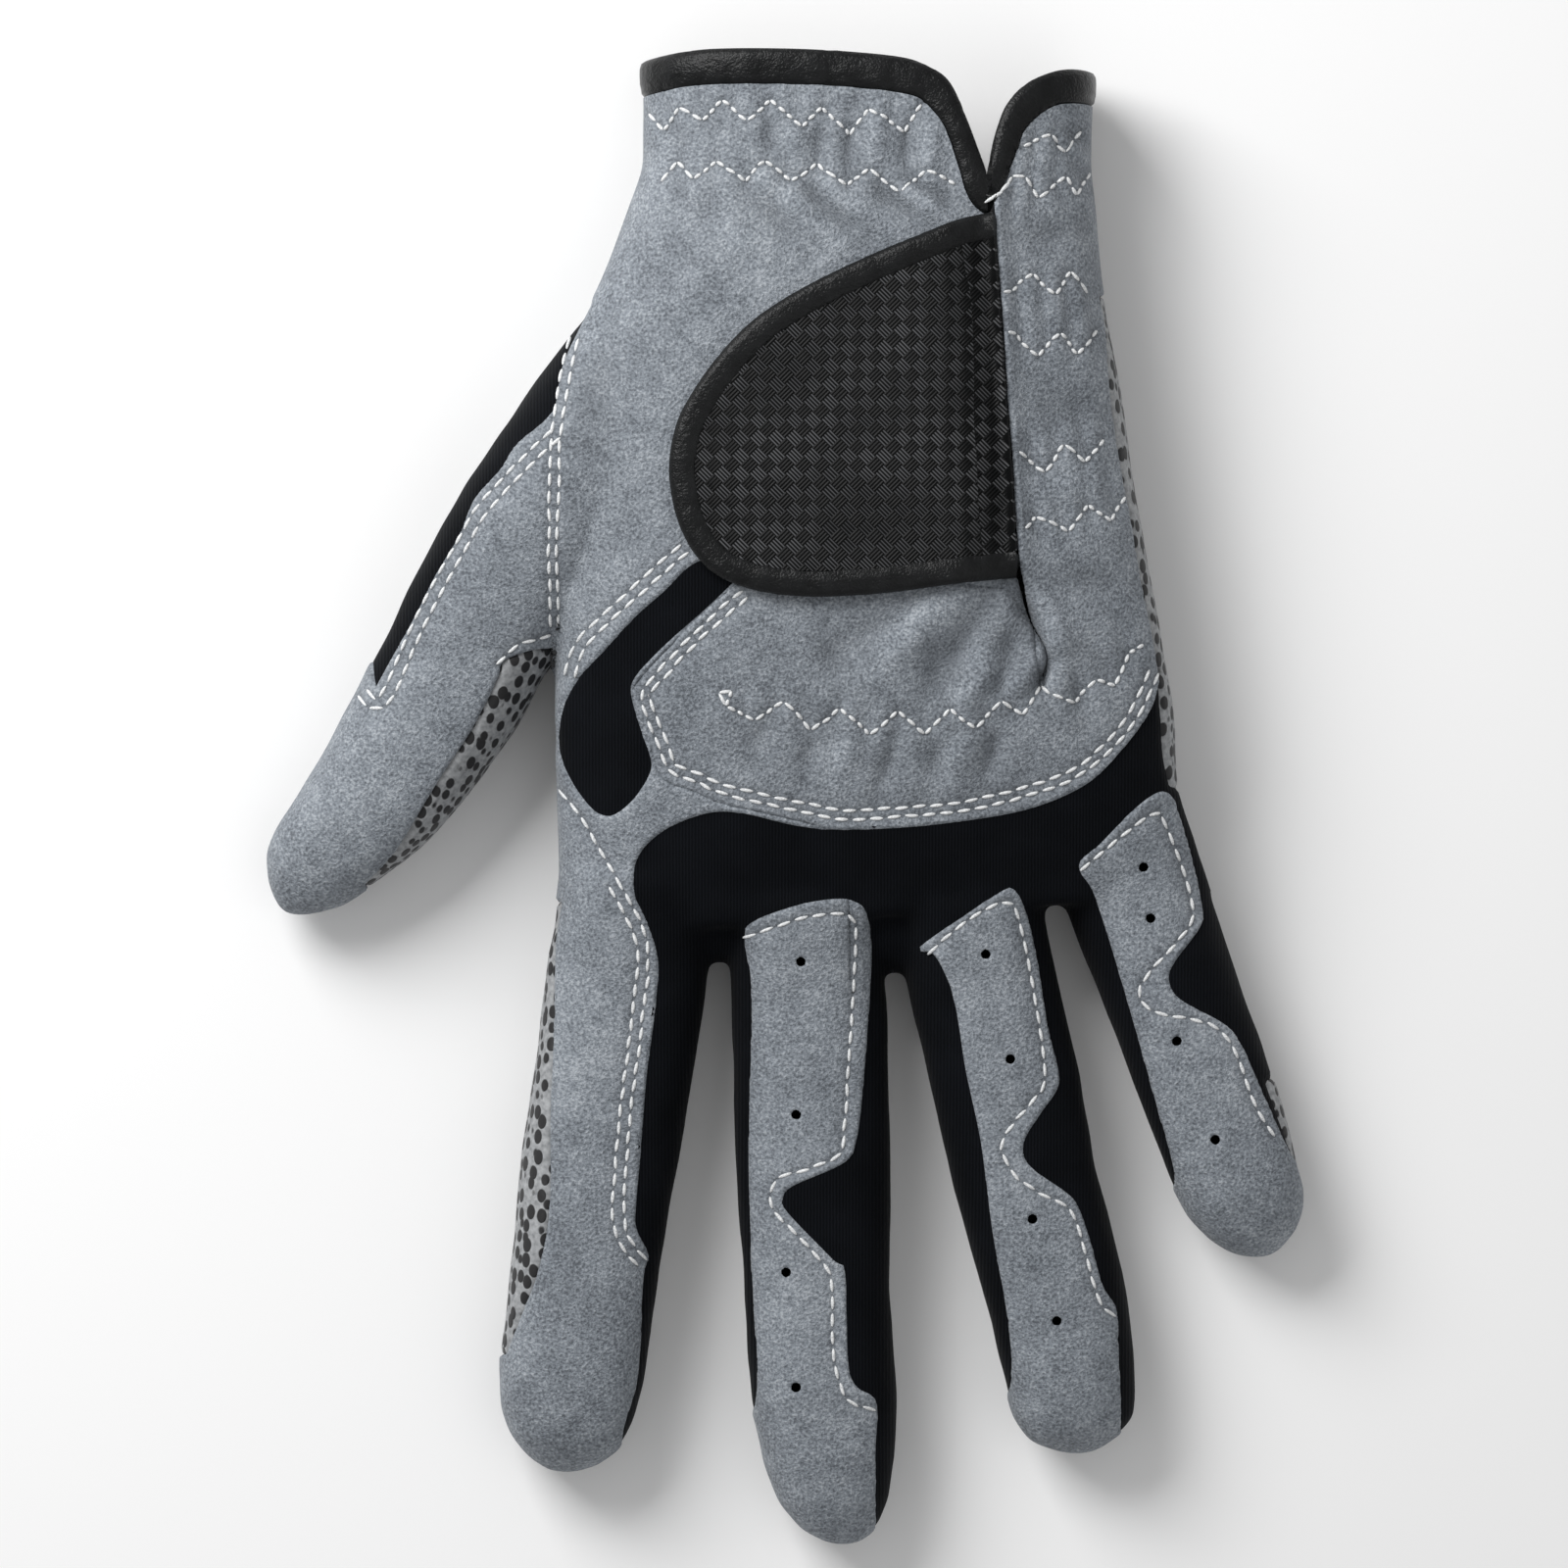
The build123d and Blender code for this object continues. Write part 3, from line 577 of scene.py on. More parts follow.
# ---- Pieces ----
# The panels are told apart by limb and by layer. On a finger each layer is three lengths, one for each
# bone, that bend into one another over a joint, as one panel of cloth does.
blend_start, blend_end, joint_half = -1.0, {"index": 9, "middle": 9, "ring": 8, "little": 5, "thumb": 7}, 6.0
finger_data = {}
for finger in fingers:
    base, along, across = finger_line(finger)
    names = ["base", "tip"] if finger == "thumb" else ["base", "middle", "tip"]
    joints = [(hinge_place(f"{finger}_{name}_joint") - base).length for name in names]
    parts = ["proximal", "distal"] if finger == "thumb" else ["proximal", "middle", "distal"]
    starts = [blend_start] + [joint - (5.0 if finger == "little" else joint_half) for joint in joints[1:]]
    ends = [blend_end[finger]] + [joint + joint_half for joint in joints[1:]]
    borders = [(end + start) / 2 for end, start in zip(ends, starts[1:])]
    finger_data[finger] = (base, along, across, parts, starts, ends, borders)


def finger_at(spot):
    """The finger and length that a plan place belongs to, or the hand."""
    best = None
    for finger, (base, along, across, parts, starts, ends, borders) in finger_data.items():
        distance, sideways = (spot - base).dot(along), (spot - base).dot(across)
        widest = 12.2 if finger == "thumb" else 13.5
        if distance > -2.2 and abs(sideways) < widest and (best is None or abs(sideways) < best[0]):
            best = (abs(sideways), finger, sum(distance > border for border in borders))
    return best[1:] if best else ("hand", 0)


def layer_at(face):
    """Which layer a face belongs to, and on the hand which panel."""
    centre = face.calc_center_median() / mm
    limb, length = finger_at(centre.xy)
    if face_value(face, layer["tape"]) > 0:
        return "hand", 0, "cuff_binding"
    if face_value(face, layer["leather"]) < 0:
        return limb, length, "palm_panel" if limb == "hand" else "front"
    on_thumb = face_value(face, layer["thumb"]) < 0 and limb == "hand" and centre.y > 12
    if face_value(face, layer["suede"]) < 0:
        if limb != "hand":
            return limb, length, "back"
        if on_thumb:
            return limb, 0, "thumb_root_panel"
        return limb, 0, "knuckle_panel" if face_value(face, layer["knuckle"]) < 0 else "back_panel"
    if limb != "hand":
        return limb, length, "gussets"
    if on_thumb:
        return limb, 0, "thumb_root_stretch"
    return limb, 0, "diagonal_stretch_inset" if centre.y > -2.7 and centre.x < -8 else "knuckle_stretch_band"


piece_names = []
piece_number = skin.faces.layers.int.new("piece")
piece_body = {}
for face in skin.faces:
    limb, length, panel = layer_at(face)
    if limb == "hand":
        name = panel
        piece_body[name] = ("hand", None, 0)
    else:
        name = f"{limb}_{finger_data[limb][3][length]}_{panel}"
        piece_body[name] = (limb, panel, length)
    if name not in piece_names:
        piece_names.append(name)
    face[piece_number] = piece_names.index(name)
up = skin.verts.layers.float_vector.new("up")
cloth = skin.verts.layers.float_vector.new("cloth")
skin.normal_update()
for vert in skin.verts:
    vert[up] = vert.normal
    vert[cloth] = vert.co

suede_lift, edge_lift, leather_lift, leather_dip, tape_lift = 0.55, 0.12, 0.35, -0.2, 1.0
stretch_lift, tape_edge_lift, leather_turn = 0.2, 0.2, 0.8
suede_panels = ("back", "back_panel", "knuckle_panel", "thumb_root_panel")
leather_panels = ("palm_panel", "front")


def tape_bulge(t):
    """Height across a folded tape, 0 at both edges and 1 between them."""
    return (1 - (2 * t - 1) ** 4) ** 0.5


def tape_groove(t):
    """Depth share of the stitched groove near a tape's inner edge."""
    return np.exp(-((t - 0.8) / 0.07) ** 2)


def lift_of(panel, value):
    """How far a layer's face stands above the skin, from the fields at a point, with rounded edges."""
    leather_value = value["leather"]
    if panel == "cuff_binding":
        from_edge, from_cloth = max(-value["cuff"], 0), max(value["tape"], 0)
        t = from_edge / max(from_edge + from_cloth, 0.01)
        return tape_edge_lift + (tape_lift - tape_edge_lift) * tape_bulge(t) - 0.3 * tape_groove(t)
    if panel in leather_panels:
        t = min(max(-leather_value / leather_turn, 0), 1)
        return leather_dip + (leather_lift - leather_dip) * t ** 0.5
    if panel in suede_panels:
        inset = min(-value["suede"], leather_value)
        if panel in ("back_panel", "knuckle_panel"):
            inset = min(inset, abs(value["knuckle"]))
        inset = min(inset, value["vents"] + 0.1, value["slit"])
        t = min(max(inset / turned_edge, 0), 1)
        return edge_lift + (suede_lift - edge_lift) * (t * (2 - t)) ** 0.5
    t = min(max(leather_value / leather_turn, 0), 1)
    return leather_dip + (stretch_lift - leather_dip) * t


tape_wall, cloth_wall = 1.5, 0.55
thickness = {"cuff_binding": tape_wall, "palm_panel": 0.6, "front": 0.6}


def taken_out(shape, number):
    """A copy of the faces with one number."""
    copy = shape.copy()
    key = copy.faces.layers.int["piece"]
    bmesh.ops.delete(copy, geom=[face for face in copy.faces if face[key] != number], context="FACES")
    return copy


def make_panel(shape, name, panel):
    """Raise one piece to its place among the layers and give it its thickness."""
    raised = shape.verts.layers.float_vector["up"]
    own = {field: shape.verts.layers.float[field] for field in fields}
    for vert in shape.verts:
        vert.co += vert[raised] * lift_of(panel, {field: vert[key] for field, key in own.items()}) * mm
    for edge in shape.edges:
        edge.smooth = not edge.is_boundary
    for face in shape.faces:
        face.smooth = True
    piece = object_from(mesh_from(shape, name), name)
    wall = piece.modifiers.new("wall", "SOLIDIFY")
    wall.thickness = thickness.get(panel, cloth_wall) * mm
    wall.offset = -1.0
    wall.material_offset = 1
    return piece


limbs = {}
for number, name in enumerate(piece_names):
    limbs.setdefault(piece_body[name][0], []).append(number)
panels = {}
for limb, numbers in limbs.items():
    part = skin.copy()
    key = part.faces.layers.int["piece"]
    own = set(numbers)
    bmesh.ops.delete(part, geom=[face for face in part.faces if face[key] not in own], context="FACES")
    for number in numbers:
        name = piece_names[number]
        panels[name] = make_panel(taken_out(part, number), name + "_cloth", piece_body[name][1] or name)
    part.free()


def follow(piece, finger, length):
    """Let a piece of a finger bend from the body before its joint to the body after it."""
    base, along, across, parts, starts, ends, borders = finger_data[finger]
    bodies = ["hand"] + [f"{finger}_{part}" for part in parts]
    start = (base + along * starts[length]) * mm
    end = (base + along * ends[length]) * mm
    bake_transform(piece, bodies[length], bodies[length + 1], start=(*start, 0), end=(*end, 0))


for name, piece in panels.items():
    limb, panel, length = piece_body[name]
    if limb == "hand":
        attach(piece, "hand")
    else:
        follow(piece, limb, length)
    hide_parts(name)

# ---- Suede and lining ----
# Microfibre suede in mid grey: a short nap that lies in small mottled clumps, with painted shade in the
# folds' creases and along the stitched seams and rows, and a dry sheen. The cloth's reverse is a plain dark
# knit.


def add_node(material, kind, inputs=(), **settings):
    """A shader node with settings, and inputs by name or number that are values or other nodes' outputs."""
    node = material.node_tree.nodes.new("ShaderNode" + kind)
    for name, value in settings.items():
        setattr(node, name, value)
    for name, value in dict(inputs).items():
        if isinstance(value, bpy.types.NodeSocket):
            material.node_tree.links.new(value, node.inputs[name])
        else:
            node.inputs[name].default_value = value
    return node


def new_finish(name, **fixed):
    """A material whose shader has fixed values by input name, with spaces as underscores."""
    material = bpy.data.materials.new(name)
    material.use_nodes = True
    shader = material.node_tree.nodes["Principled BSDF"]
    for key, value in fixed.items():
        shader.inputs[key.replace("_", " ")].default_value = value
    return material, shader


def noise_value(material, place, scale, detail=2.0, roughness=0.5):
    """Noise in the cloth, with clumps of about 1 / scale metres."""
    inputs = {"Vector": place, "Scale": scale, "Detail": detail, "Roughness": roughness}
    return add_node(material, "TexNoise", inputs).outputs["Fac"]


def ramp(material, value, stops):
    """Colours along a value."""
    node = add_node(material, "ValToRGB", {"Fac": value})
    elements = node.color_ramp.elements
    while len(elements) < len(stops):
        elements.new(0.5)
    for element, (position, colour) in zip(elements, stops):
        element.position = position
        element.color = (*colour, 1.0)
    return node.outputs["Color"]


def math_value(material, operation, a, b=0.0, c=0.0, clamp=False):
    """One arithmetic step between values."""
    return add_node(material, "Math", {0: a, 1: b, 2: c}, operation=operation, use_clamp=clamp).outputs[0]


def cloth_place(material):
    """Place on the cloth, which stays with it as it bends."""
    return add_node(material, "Attribute", attribute_name="cloth").outputs["Vector"]


def attribute_value(material, name):
    """One of the skin's fields."""
    return add_node(material, "Attribute", attribute_name=name).outputs["Fac"]


def wave_value(material, place, scale, direction, **inputs):
    """Rows of ridges in the cloth."""
    settings = {name.replace("_", " "): value for name, value in inputs.items()}
    settings.update({"Vector": place, "Scale": scale})
    return add_node(material, "TexWave", settings, bands_direction=direction).outputs["Fac"]


def mixed_colour(material, share, first, second):
    """From the first colour to the second as the share goes from 0 to 1."""
    return add_node(material, "Mix", {"Factor": share, 6: first, 7: second}, data_type="RGBA").outputs[2]


def finished(material, shader, colour, height, depth):
    """The material with its colour, and its surface raised by a height value times a depth in metres."""
    material.node_tree.links.new(colour, shader.inputs["Base Color"])
    bump = add_node(material, "Bump", {"Height": height, "Distance": depth, "Strength": 1.0})
    material.node_tree.links.new(bump.outputs["Normal"], shader.inputs["Normal"])
    return material


def suede_finish():
    material, shader = new_finish(
        "suede", Roughness=0.95, Sheen_Weight=0.12, Sheen_Roughness=0.5, Specular_IOR_Level=0.15)
    place = cloth_place(material)
    nap = noise_value(material, place, 2400.0, 2.0, 0.6)
    clumps = noise_value(material, place, 260.0, 2.0, 0.55)
    cloud = noise_value(material, place, 45.0, 2.0, 0.5)
    mixed = math_value(material, "MULTIPLY_ADD", nap, 0.64, math_value(material, "MULTIPLY", clumps, 0.2))
    mixed = math_value(material, "MULTIPLY_ADD", cloud, 0.16, mixed)
    colour = ramp(material, mixed, [
        (0.37, (0.11, 0.122, 0.139)), (0.46, (0.198, 0.219, 0.245)),
        (0.54, (0.268, 0.294, 0.326)), (0.64, (0.42, 0.45, 0.484))])
    # Painted shade: the suede's colour goes towards a near-black grey within about a millimetre of the
    # stitched seams and rows and in the creases of the folds, and less so on the folds' ridges.
    stitched = attribute_value(material, "stitched")
    shade = math_value(material, "MULTIPLY_ADD", stitched, 0.42, 0.66, clamp=True)
    relief = attribute_value(material, "relief")
    painted_fold_shade = add_node(material, "MapRange", {"Value": relief, "From Min": -1.1, "From Max": 0.9}).outputs[0]
    painted_fold_shade = math_value(material, "MULTIPLY_ADD", painted_fold_shade, 0.62, 0.55)
    shade = math_value(material, "MULTIPLY", shade, painted_fold_shade, clamp=True)
    colour = mixed_colour(material, shade, (0.085, 0.093, 0.104, 1.0), colour)
    return finished(material, shader, colour, mixed, 0.5 * mm)


def lining_finish():
    material, shader = new_finish("lining", Roughness=0.9)
    knit = noise_value(material, cloth_place(material), 1800.0)
    colour = ramp(material, knit, [(0.3, (0.02, 0.021, 0.023)), (0.7, (0.06, 0.062, 0.066))])
    return finished(material, shader, colour, knit, 0.2 * mm)


suede_material = suede_finish()
lining_material = lining_finish()

# ---- Stretch fabric ----
# Black knit for the insets, the band over the knuckles and the fingers' sides. Fine ribs run along the
# hand, with a faint dusty bloom.


def stretch_finish():
    material, shader = new_finish("stretch_knit", Roughness=0.8, Sheen_Weight=0.02, Specular_IOR_Level=0.06)
    place = cloth_place(material)
    ribs = wave_value(material, place, 690.0, "X", Distortion=1.2, Detail=1.0, Detail_Scale=2.0)
    loops = noise_value(material, place, 2600.0, 2.0)
    height = math_value(material, "MULTIPLY_ADD", loops, 0.5, ribs)
    cloud = noise_value(material, place, 120.0, 3.0)
    tone = math_value(material, "MULTIPLY_ADD", cloud, 0.5, math_value(material, "MULTIPLY", height, 0.33))
    colour = ramp(material, tone, [(0.3, (0.0012, 0.0016, 0.0024)), (0.75, (0.0055, 0.0065, 0.0088))])
    return finished(material, shader, colour, height, 0.05 * mm)


stretch_material = stretch_finish()

# ---- Palm leather ----
# Pale grey synthetic leather, printed all over with raised black rubber teardrops that lie at a slant.


def leather_finish():
    material, shader = new_finish("grip_leather", Roughness=0.55, Specular_IOR_Level=0.4)
    place = cloth_place(material)
    turned = add_node(material, "Mapping", {
        "Vector": place, "Rotation": (0, 0, radians(32)), "Scale": (1.0, 0.68, 0.8)})
    wander = noise_value(material, place, 300.0)
    dots = add_node(material, "TexVoronoi", {"Vector": turned.outputs[0], "Scale": 620.0, "Randomness": 0.5})
    edge = math_value(material, "MULTIPLY_ADD", wander, 0.16, dots.outputs["Distance"])
    dot = add_node(material, "MapRange", {"Value": edge, "From Min": 0.55, "From Max": 0.485})
    grain = noise_value(material, place, 1400.0, 3.0)
    pale = ramp(material, grain, [(0.3, (0.19, 0.197, 0.205)), (0.7, (0.37, 0.38, 0.39))])
    colour = mixed_colour(material, dot.outputs[0], pale, (0.012, 0.012, 0.013, 1.0))
    raised = math_value(material, "MULTIPLY_ADD", grain, 0.15, dot.outputs[0])
    return finished(material, shader, colour, raised, 0.25 * mm)


leather_material = leather_finish()

# ---- Binding ----
# Soft black satin tape folded round the cuff and both sides of its notch, with fine ribs across it and
# a stitched groove near its lower edge.


def tape_finish():
    material, shader = new_finish("binding_tape", Roughness=0.36, Specular_IOR_Level=0.2, Sheen_Weight=0.03)
    place = cloth_place(material)
    crinkle = noise_value(material, place, 420.0, 4.0, 0.6)
    weave = noise_value(material, place, 3200.0, 1.0)
    height = math_value(material, "MULTIPLY_ADD", weave, 0.35, crinkle)
    colour = ramp(material, crinkle, [(0.3, (0.0025, 0.0028, 0.003)), (0.7, (0.008, 0.0086, 0.0092))])
    return finished(material, shader, colour, height, 0.3 * mm)


tape_material = tape_finish()
for name, piece in panels.items():
    panel = piece_body[name][1] or name
    if panel in leather_panels:
        finish, slot = leather_material, "grip_leather"
    elif panel == "cuff_binding":
        finish, slot = tape_material, "binding_tape"
    elif panel in suede_panels:
        finish, slot = suede_material, "suede"
    else:
        finish, slot = stretch_material, "stretch_fabric"
    piece.data.materials.append(finish)
    piece.data.materials.append(lining_material)

# ---- Thread ----
# Each stitch is a short grain of spun off-white polyester that dips into the cloth at both ends.


def thread_finish():
    material, shader = new_finish("thread", Roughness=0.7, Sheen_Weight=0.3)
    twist = noise_value(material, add_node(material, "TexCoord").outputs["Object"], 3800.0, 1.0)
    colour = ramp(material, twist, [(0.35, (0.56, 0.57, 0.58)), (0.65, (0.86, 0.87, 0.87))])
    return finished(material, shader, colour, twist, 0.1 * mm)


thread_material = thread_finish()
thread_width = 0.56
seam_stitch, seam_gap = 1.95, 0.55
row_stitch, row_gap = 1.25, 0.35
corner_gap = 0.04  # share of a zigzag's straight run left bare at each end
stitch_groups = {}


def on_skin(x, y, lift):
    """Point and normal on the skin straight below a plan place."""
    hit, up_there, index, gap = skin_tree.ray_cast(Vector((x * mm, y * mm, 0.09)), Vector((0, 0, -1)))
    if hit is None:
        return None, None
    return hit + up_there * lift * mm, up_there


def add_stitch(start, end, lift=suede_lift + 0.05):
    """One stitch between two plan places, in the group of the finger length that it lies on."""
    limb, length = finger_at(Vector((start + end) / 2))
    first, up_first = on_skin(start[0], start[1], lift)
    last, up_last = on_skin(end[0], end[1], lift)
    if first is None or last is None or (first - last).length > 4 * mm:
        return
    group = stitch_groups.setdefault((limb, length), bmesh.new())
    run = (last - first).normalized()
    side = run.cross(up_first + up_last).normalized()
    turn = Matrix((run, side, side.cross(run) * -1)).transposed().to_4x4()
    size = Matrix.Diagonal(((last - first).length / 2, thread_width / 2 * mm, thread_width / 2 * mm, 1.0))
    bmesh.ops.create_uvsphere(
        group, u_segments=8, v_segments=6, radius=1.0,
        matrix=Matrix.Translation((first + last) / 2) @ turn @ size @ Matrix.Rotation(pi / 2, 4, "Y"))


def sew(line, stitch, gap):
    """Stitches and gaps of one length along a line."""
    steps = np.hypot(*np.diff(line, axis=0).T)
    reach = np.concatenate([[0], np.cumsum(steps)])
    count = max(int(round((reach[-1] + gap) / (stitch + gap))), 1)
    pitch = (reach[-1] + gap) / count
    for k in range(count):
        ends = np.array([k * pitch, k * pitch + pitch - gap])
        add_stitch(*np.stack([np.interp(ends, reach, line[:, i]) for i in (0, 1)], axis=1))


for line in seams:
    sew(line, seam_stitch, seam_gap)
for row in zigzags:
    for a, b in zip(row[:-1], row[1:]):
        sew(np.array([a + (b - a) * corner_gap, b - (b - a) * corner_gap]), row_stitch, row_gap)
tack = (((28.0, 84.4), (30.2, 85.8)), ((28.8, 83.9), (31.0, 85.0)), ((30.0, 85.7), (31.6, 87.0)))
for start, end in tack:
    add_stitch(np.array(start), np.array(end), tape_lift + 0.2)
for (limb, length), group in stitch_groups.items():
    bmesh.ops.recalc_face_normals(group, faces=group.faces)
    for face in group.faces:
        face.smooth = True
    name = f"{limb}_{length}_stitches"
    piece = object_from(mesh_from(group, name), name)
    piece.data.materials.append(thread_material)
    if limb == "hand":
        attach(piece, "hand")
    else:
        follow(piece, limb, length)

# ---- Elastics ----
# Braided white elastic strips sewn inside the back, under the zigzag rows that gather it.


def elastic_finish():
    material, shader = new_finish("elastic", Roughness=0.6)
    place = cloth_place(material)
    braid = wave_value(material, place, 420.0, "DIAGONAL")
    colour = ramp(material, braid, [(0.2, (0.5, 0.5, 0.49)), (0.8, (0.82, 0.82, 0.8))])
    return finished(material, shader, colour, braid, 0.15 * mm)


def lay_strip(shape, start, end, width, lift):
    """Grid along a row, laid on the skin."""
    run = Vector(end) - Vector(start)
    middle = (Vector(start) + Vector(end)) / 2
    strip = bmesh.ops.create_grid(shape, x_segments=int(run.length), y_segments=4, size=0.5)["verts"]
    across = Vector((-run.y, run.x)).normalized() * width
    for vert in strip:
        spot = middle + run * vert.co.x + across * vert.co.y
        vert.co = on_skin(spot.x, spot.y, lift)[0] or Vector((spot.x * mm, spot.y * mm, 0.02))


elastic_material = elastic_finish()
elastic_width, elastic_wall, elastic_lift = 5.0, 0.8, -0.25
elastic_rows = {
    "cuff_elastics": [((-14.0, 96.6), (18.0, 96.6)), ((-14.0, 88.6), (19.5, 88.4))],
    "ulnar_elastics": [
        ((35.0, 93.0), (41.0, 93.2)), ((31.5, 86.8), (41.5, 87.0)), ((31.5, 73.0), (42.5, 73.0)),
        ((32.5, 64.3), (43.6, 64.3)), ((33.5, 48.4), (45.5, 48.4)), ((35.0, 39.7), (47.0, 39.9))],
    "knuckle_elastic": [((-8.0, 12.0), (34.0, 11.6))],
}
for node, rows in elastic_rows.items():
    strips = bmesh.new()
    for start, end in rows:
        lay_strip(strips, start, end, elastic_width, elastic_lift)
    place = strips.verts.layers.float_vector.new("cloth")
    for vert in strips.verts:
        vert[place] = vert.co
    for face in strips.faces:
        face.smooth = True
    piece = object_from(mesh_from(strips, node), node + "_braid")
    body = piece.modifiers.new("body", "SOLIDIFY")
    body.thickness = elastic_wall * mm
    body.offset = -1.0
    piece.data.materials.append(elastic_material)
    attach(piece, "hand")
    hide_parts(node)

# ---- Closure tab ----
# A flap sewn into the slit's far side: an embossed basket weave face on brushed backing, bound with
# tape round its free edge, with a hook pad below that grips a loop pad on the back of the hand.
tab_edge = curved([
    (29.1, 83), (24.6, 82), (19.5, 80), (11.6, 76.7), (3.7, 72.9), (-2.2, 69.4), (-6.1, 66.3),
    (-10, 62), (-13.1, 57.6), (-15.5, 52.9), (-16.5, 47.4), (-16.2, 43.1), (-15.1, 38.7), (-12.8, 34.4),
    (-9.2, 31.2), (-4.1, 29.3), (1.8, 28.5), (7.6, 28.5), (15.6, 29.1), (23.5, 30.2), (33.2, 31.2)])
tab_edge = np.vstack([[(34, 84.3)], tab_edge, [(38, 31.6)]])
root_line = np.array([
    (28.6, 90.0), (29.1, 83), (29.9, 70.2), (30.9, 56.5), (31.7, 46.6), (32.4, 35.2), (32.7, 26.0)])
tape_width, root_rise, tab_rise, weave_cell = 3.9, 1.0, 2.1, 1.8
tab_axis = hinges["closure_tab_hinge"]
root_point = Vector(tab_axis["pos_m"][:2]) / mm
tab_bend = 7.0  # length of cloth that bends beside the sewn root
root_cut = 0.25  # how far past its stitches the tab runs under the back
pad_inset, pad_start, face_lift = 2.0, 20.0, 0.5


def trim(sheet, name, level, keep_below=True):
    """Cut a sheet along a field and drop the far side."""
    cut_along(sheet, name, level)
    field = sheet.verts.layers.float[name]
    gone = [face for face in sheet.faces if (face_value(face, field) > level) == keep_below]
    bmesh.ops.delete(sheet, geom=gone, context="FACES")


def tab_sheet(pitch, lift):
    """Grid over the tab's place, laid at a height above the skin that comes down to its sewn root."""
    sheet = bmesh.new()
    wide, tall = 54.0, 60.0
    bmesh.ops.create_grid(sheet, x_segments=int(wide / pitch), y_segments=int(tall / pitch), size=0.5)
    for vert in sheet.verts:
        vert.co = (vert.co.x * wide + 8.5, vert.co.y * tall + 56.0, 0)
    for name in ("edge", "root"):
        sheet.verts.layers.float.new(name)
    sheet.verts.layers.float_vector.new("cloth")
    edge, root = sheet.verts.layers.float["edge"], sheet.verts.layers.float["root"]
    places = np.array([vert.co.xy for vert in sheet.verts])
    edge_distance, _, side = nearest(places, tab_edge)
    root_distance, _, root_side = nearest(places, root_line)
    for vert, d, s, rd, rs in zip(sheet.verts, edge_distance, side, root_distance, root_side):
        vert[edge] = d * s
        vert[root] = -rd * rs
        base = on_skin(vert.co.x, vert.co.y, 0)[0]
        vert.co.z = base.z / mm if base else 29.0
    inner = [vert for vert in sheet.verts if not vert.is_boundary]
    bmesh.ops.smooth_vert(sheet, verts=inner, factor=0.5, use_axis_z=True)
    for step in range(10):
        bmesh.ops.smooth_vert(sheet, verts=sheet.verts, factor=0.5, use_axis_z=True)
    place = sheet.verts.layers.float_vector["cloth"]
    for vert in sheet.verts:
        vert.co.z += lift + root_rise + (tab_rise - root_rise) * smooth_step(-vert[root], 0, 9)
        vert.co *= mm
        vert[place] = vert.co
    trim(sheet, "root", root_cut)
    return sheet


def finish_tab_piece(sheet, node, wall, material, body="closure_tab"):
    """Give a layer of the tab its thickness, and let it bend at the sewn root."""
    for face in sheet.faces:
        face.smooth = True
        if face.normal.z < 0:
            face.normal_flip()
    for edge in sheet.edges:
        edge.smooth = not edge.is_boundary
    piece = object_from(mesh_from(sheet, node), node + "_cloth")
    if wall:
        body_wall = piece.modifiers.new("body", "SOLIDIFY")
        body_wall.thickness = wall * mm
        body_wall.offset = -1.0
    piece.data.materials.append(material)
    if body == "closure_tab":
        start = root_point + Vector((-0.3, 0))
        end = root_point + Vector((-tab_bend, -0.6))
        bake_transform(piece, "hand", "closure_tab", start=(*(start * mm), 0.03), end=(*(end * mm), 0.03))
    else:
        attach(piece, body)
    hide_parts(node)
    return piece


def weave_finish():
    material, shader = new_finish("woven_face", Roughness=0.4, Specular_IOR_Level=0.12)
    place = cloth_place(material)
    turned = add_node(material, "Mapping", {"Vector": place, "Rotation": (0, 0, radians(45))}).outputs[0]
    cells = 1 / (2 * weave_cell * mm)
    check = add_node(material, "TexChecker", {"Vector": turned, "Scale": 2 * cells}).outputs["Fac"]
    ribs_x, ribs_y = (wave_value(material, turned, 698.0, direction) for direction in "XY")
    ribs = add_node(material, "Mix", {"Factor": check, 2: ribs_x, 3: ribs_y}).outputs[0]
    # Painted highlight: the ribs of every other cell are coloured light, as where they face the lamp, and the
    # other cells stay black; a large noise makes this painted highlight patchy.
    patchy_highlight = noise_value(material, place, 90.0, 2.0)
    patchy_highlight = math_value(material, "MULTIPLY_ADD", patchy_highlight, 1.2, 0.25)
    painted_rib_highlight = math_value(material, "MULTIPLY", check, patchy_highlight, clamp=True)
    painted_rib_highlight = math_value(material, "MULTIPLY", painted_rib_highlight, ribs)
    colour = ramp(material, painted_rib_highlight, [(0.3, (0.0022, 0.0024, 0.0026)), (1.0, (0.11, 0.112, 0.117))])
    return finished(material, shader, colour, ribs, 0.1 * mm)


def backing_finish():
    material, shader = new_finish("tab_backing", Roughness=0.9, Sheen_Weight=0.25)
    fuzz = noise_value(material, cloth_place(material), 1700.0, 3.0, 0.7)
    colour = ramp(material, fuzz, [(0.3, (0.008, 0.008, 0.009)), (0.7, (0.03, 0.03, 0.033))])
    return finished(material, shader, colour, fuzz, 0.35 * mm)


def hook_finish():
    material, shader = new_finish("hook_fabric", Roughness=0.45)
    place = cloth_place(material)
    rows = wave_value(material, place, 300.0, "X")
    teeth = wave_value(material, place, 380.0, "Y")
    hooks = math_value(material, "MULTIPLY", rows, teeth)
    colour = ramp(material, hooks, [(0.3, (0.006, 0.006, 0.006)), (0.8, (0.05, 0.05, 0.05))])
    return finished(material, shader, colour, hooks, 0.5 * mm)


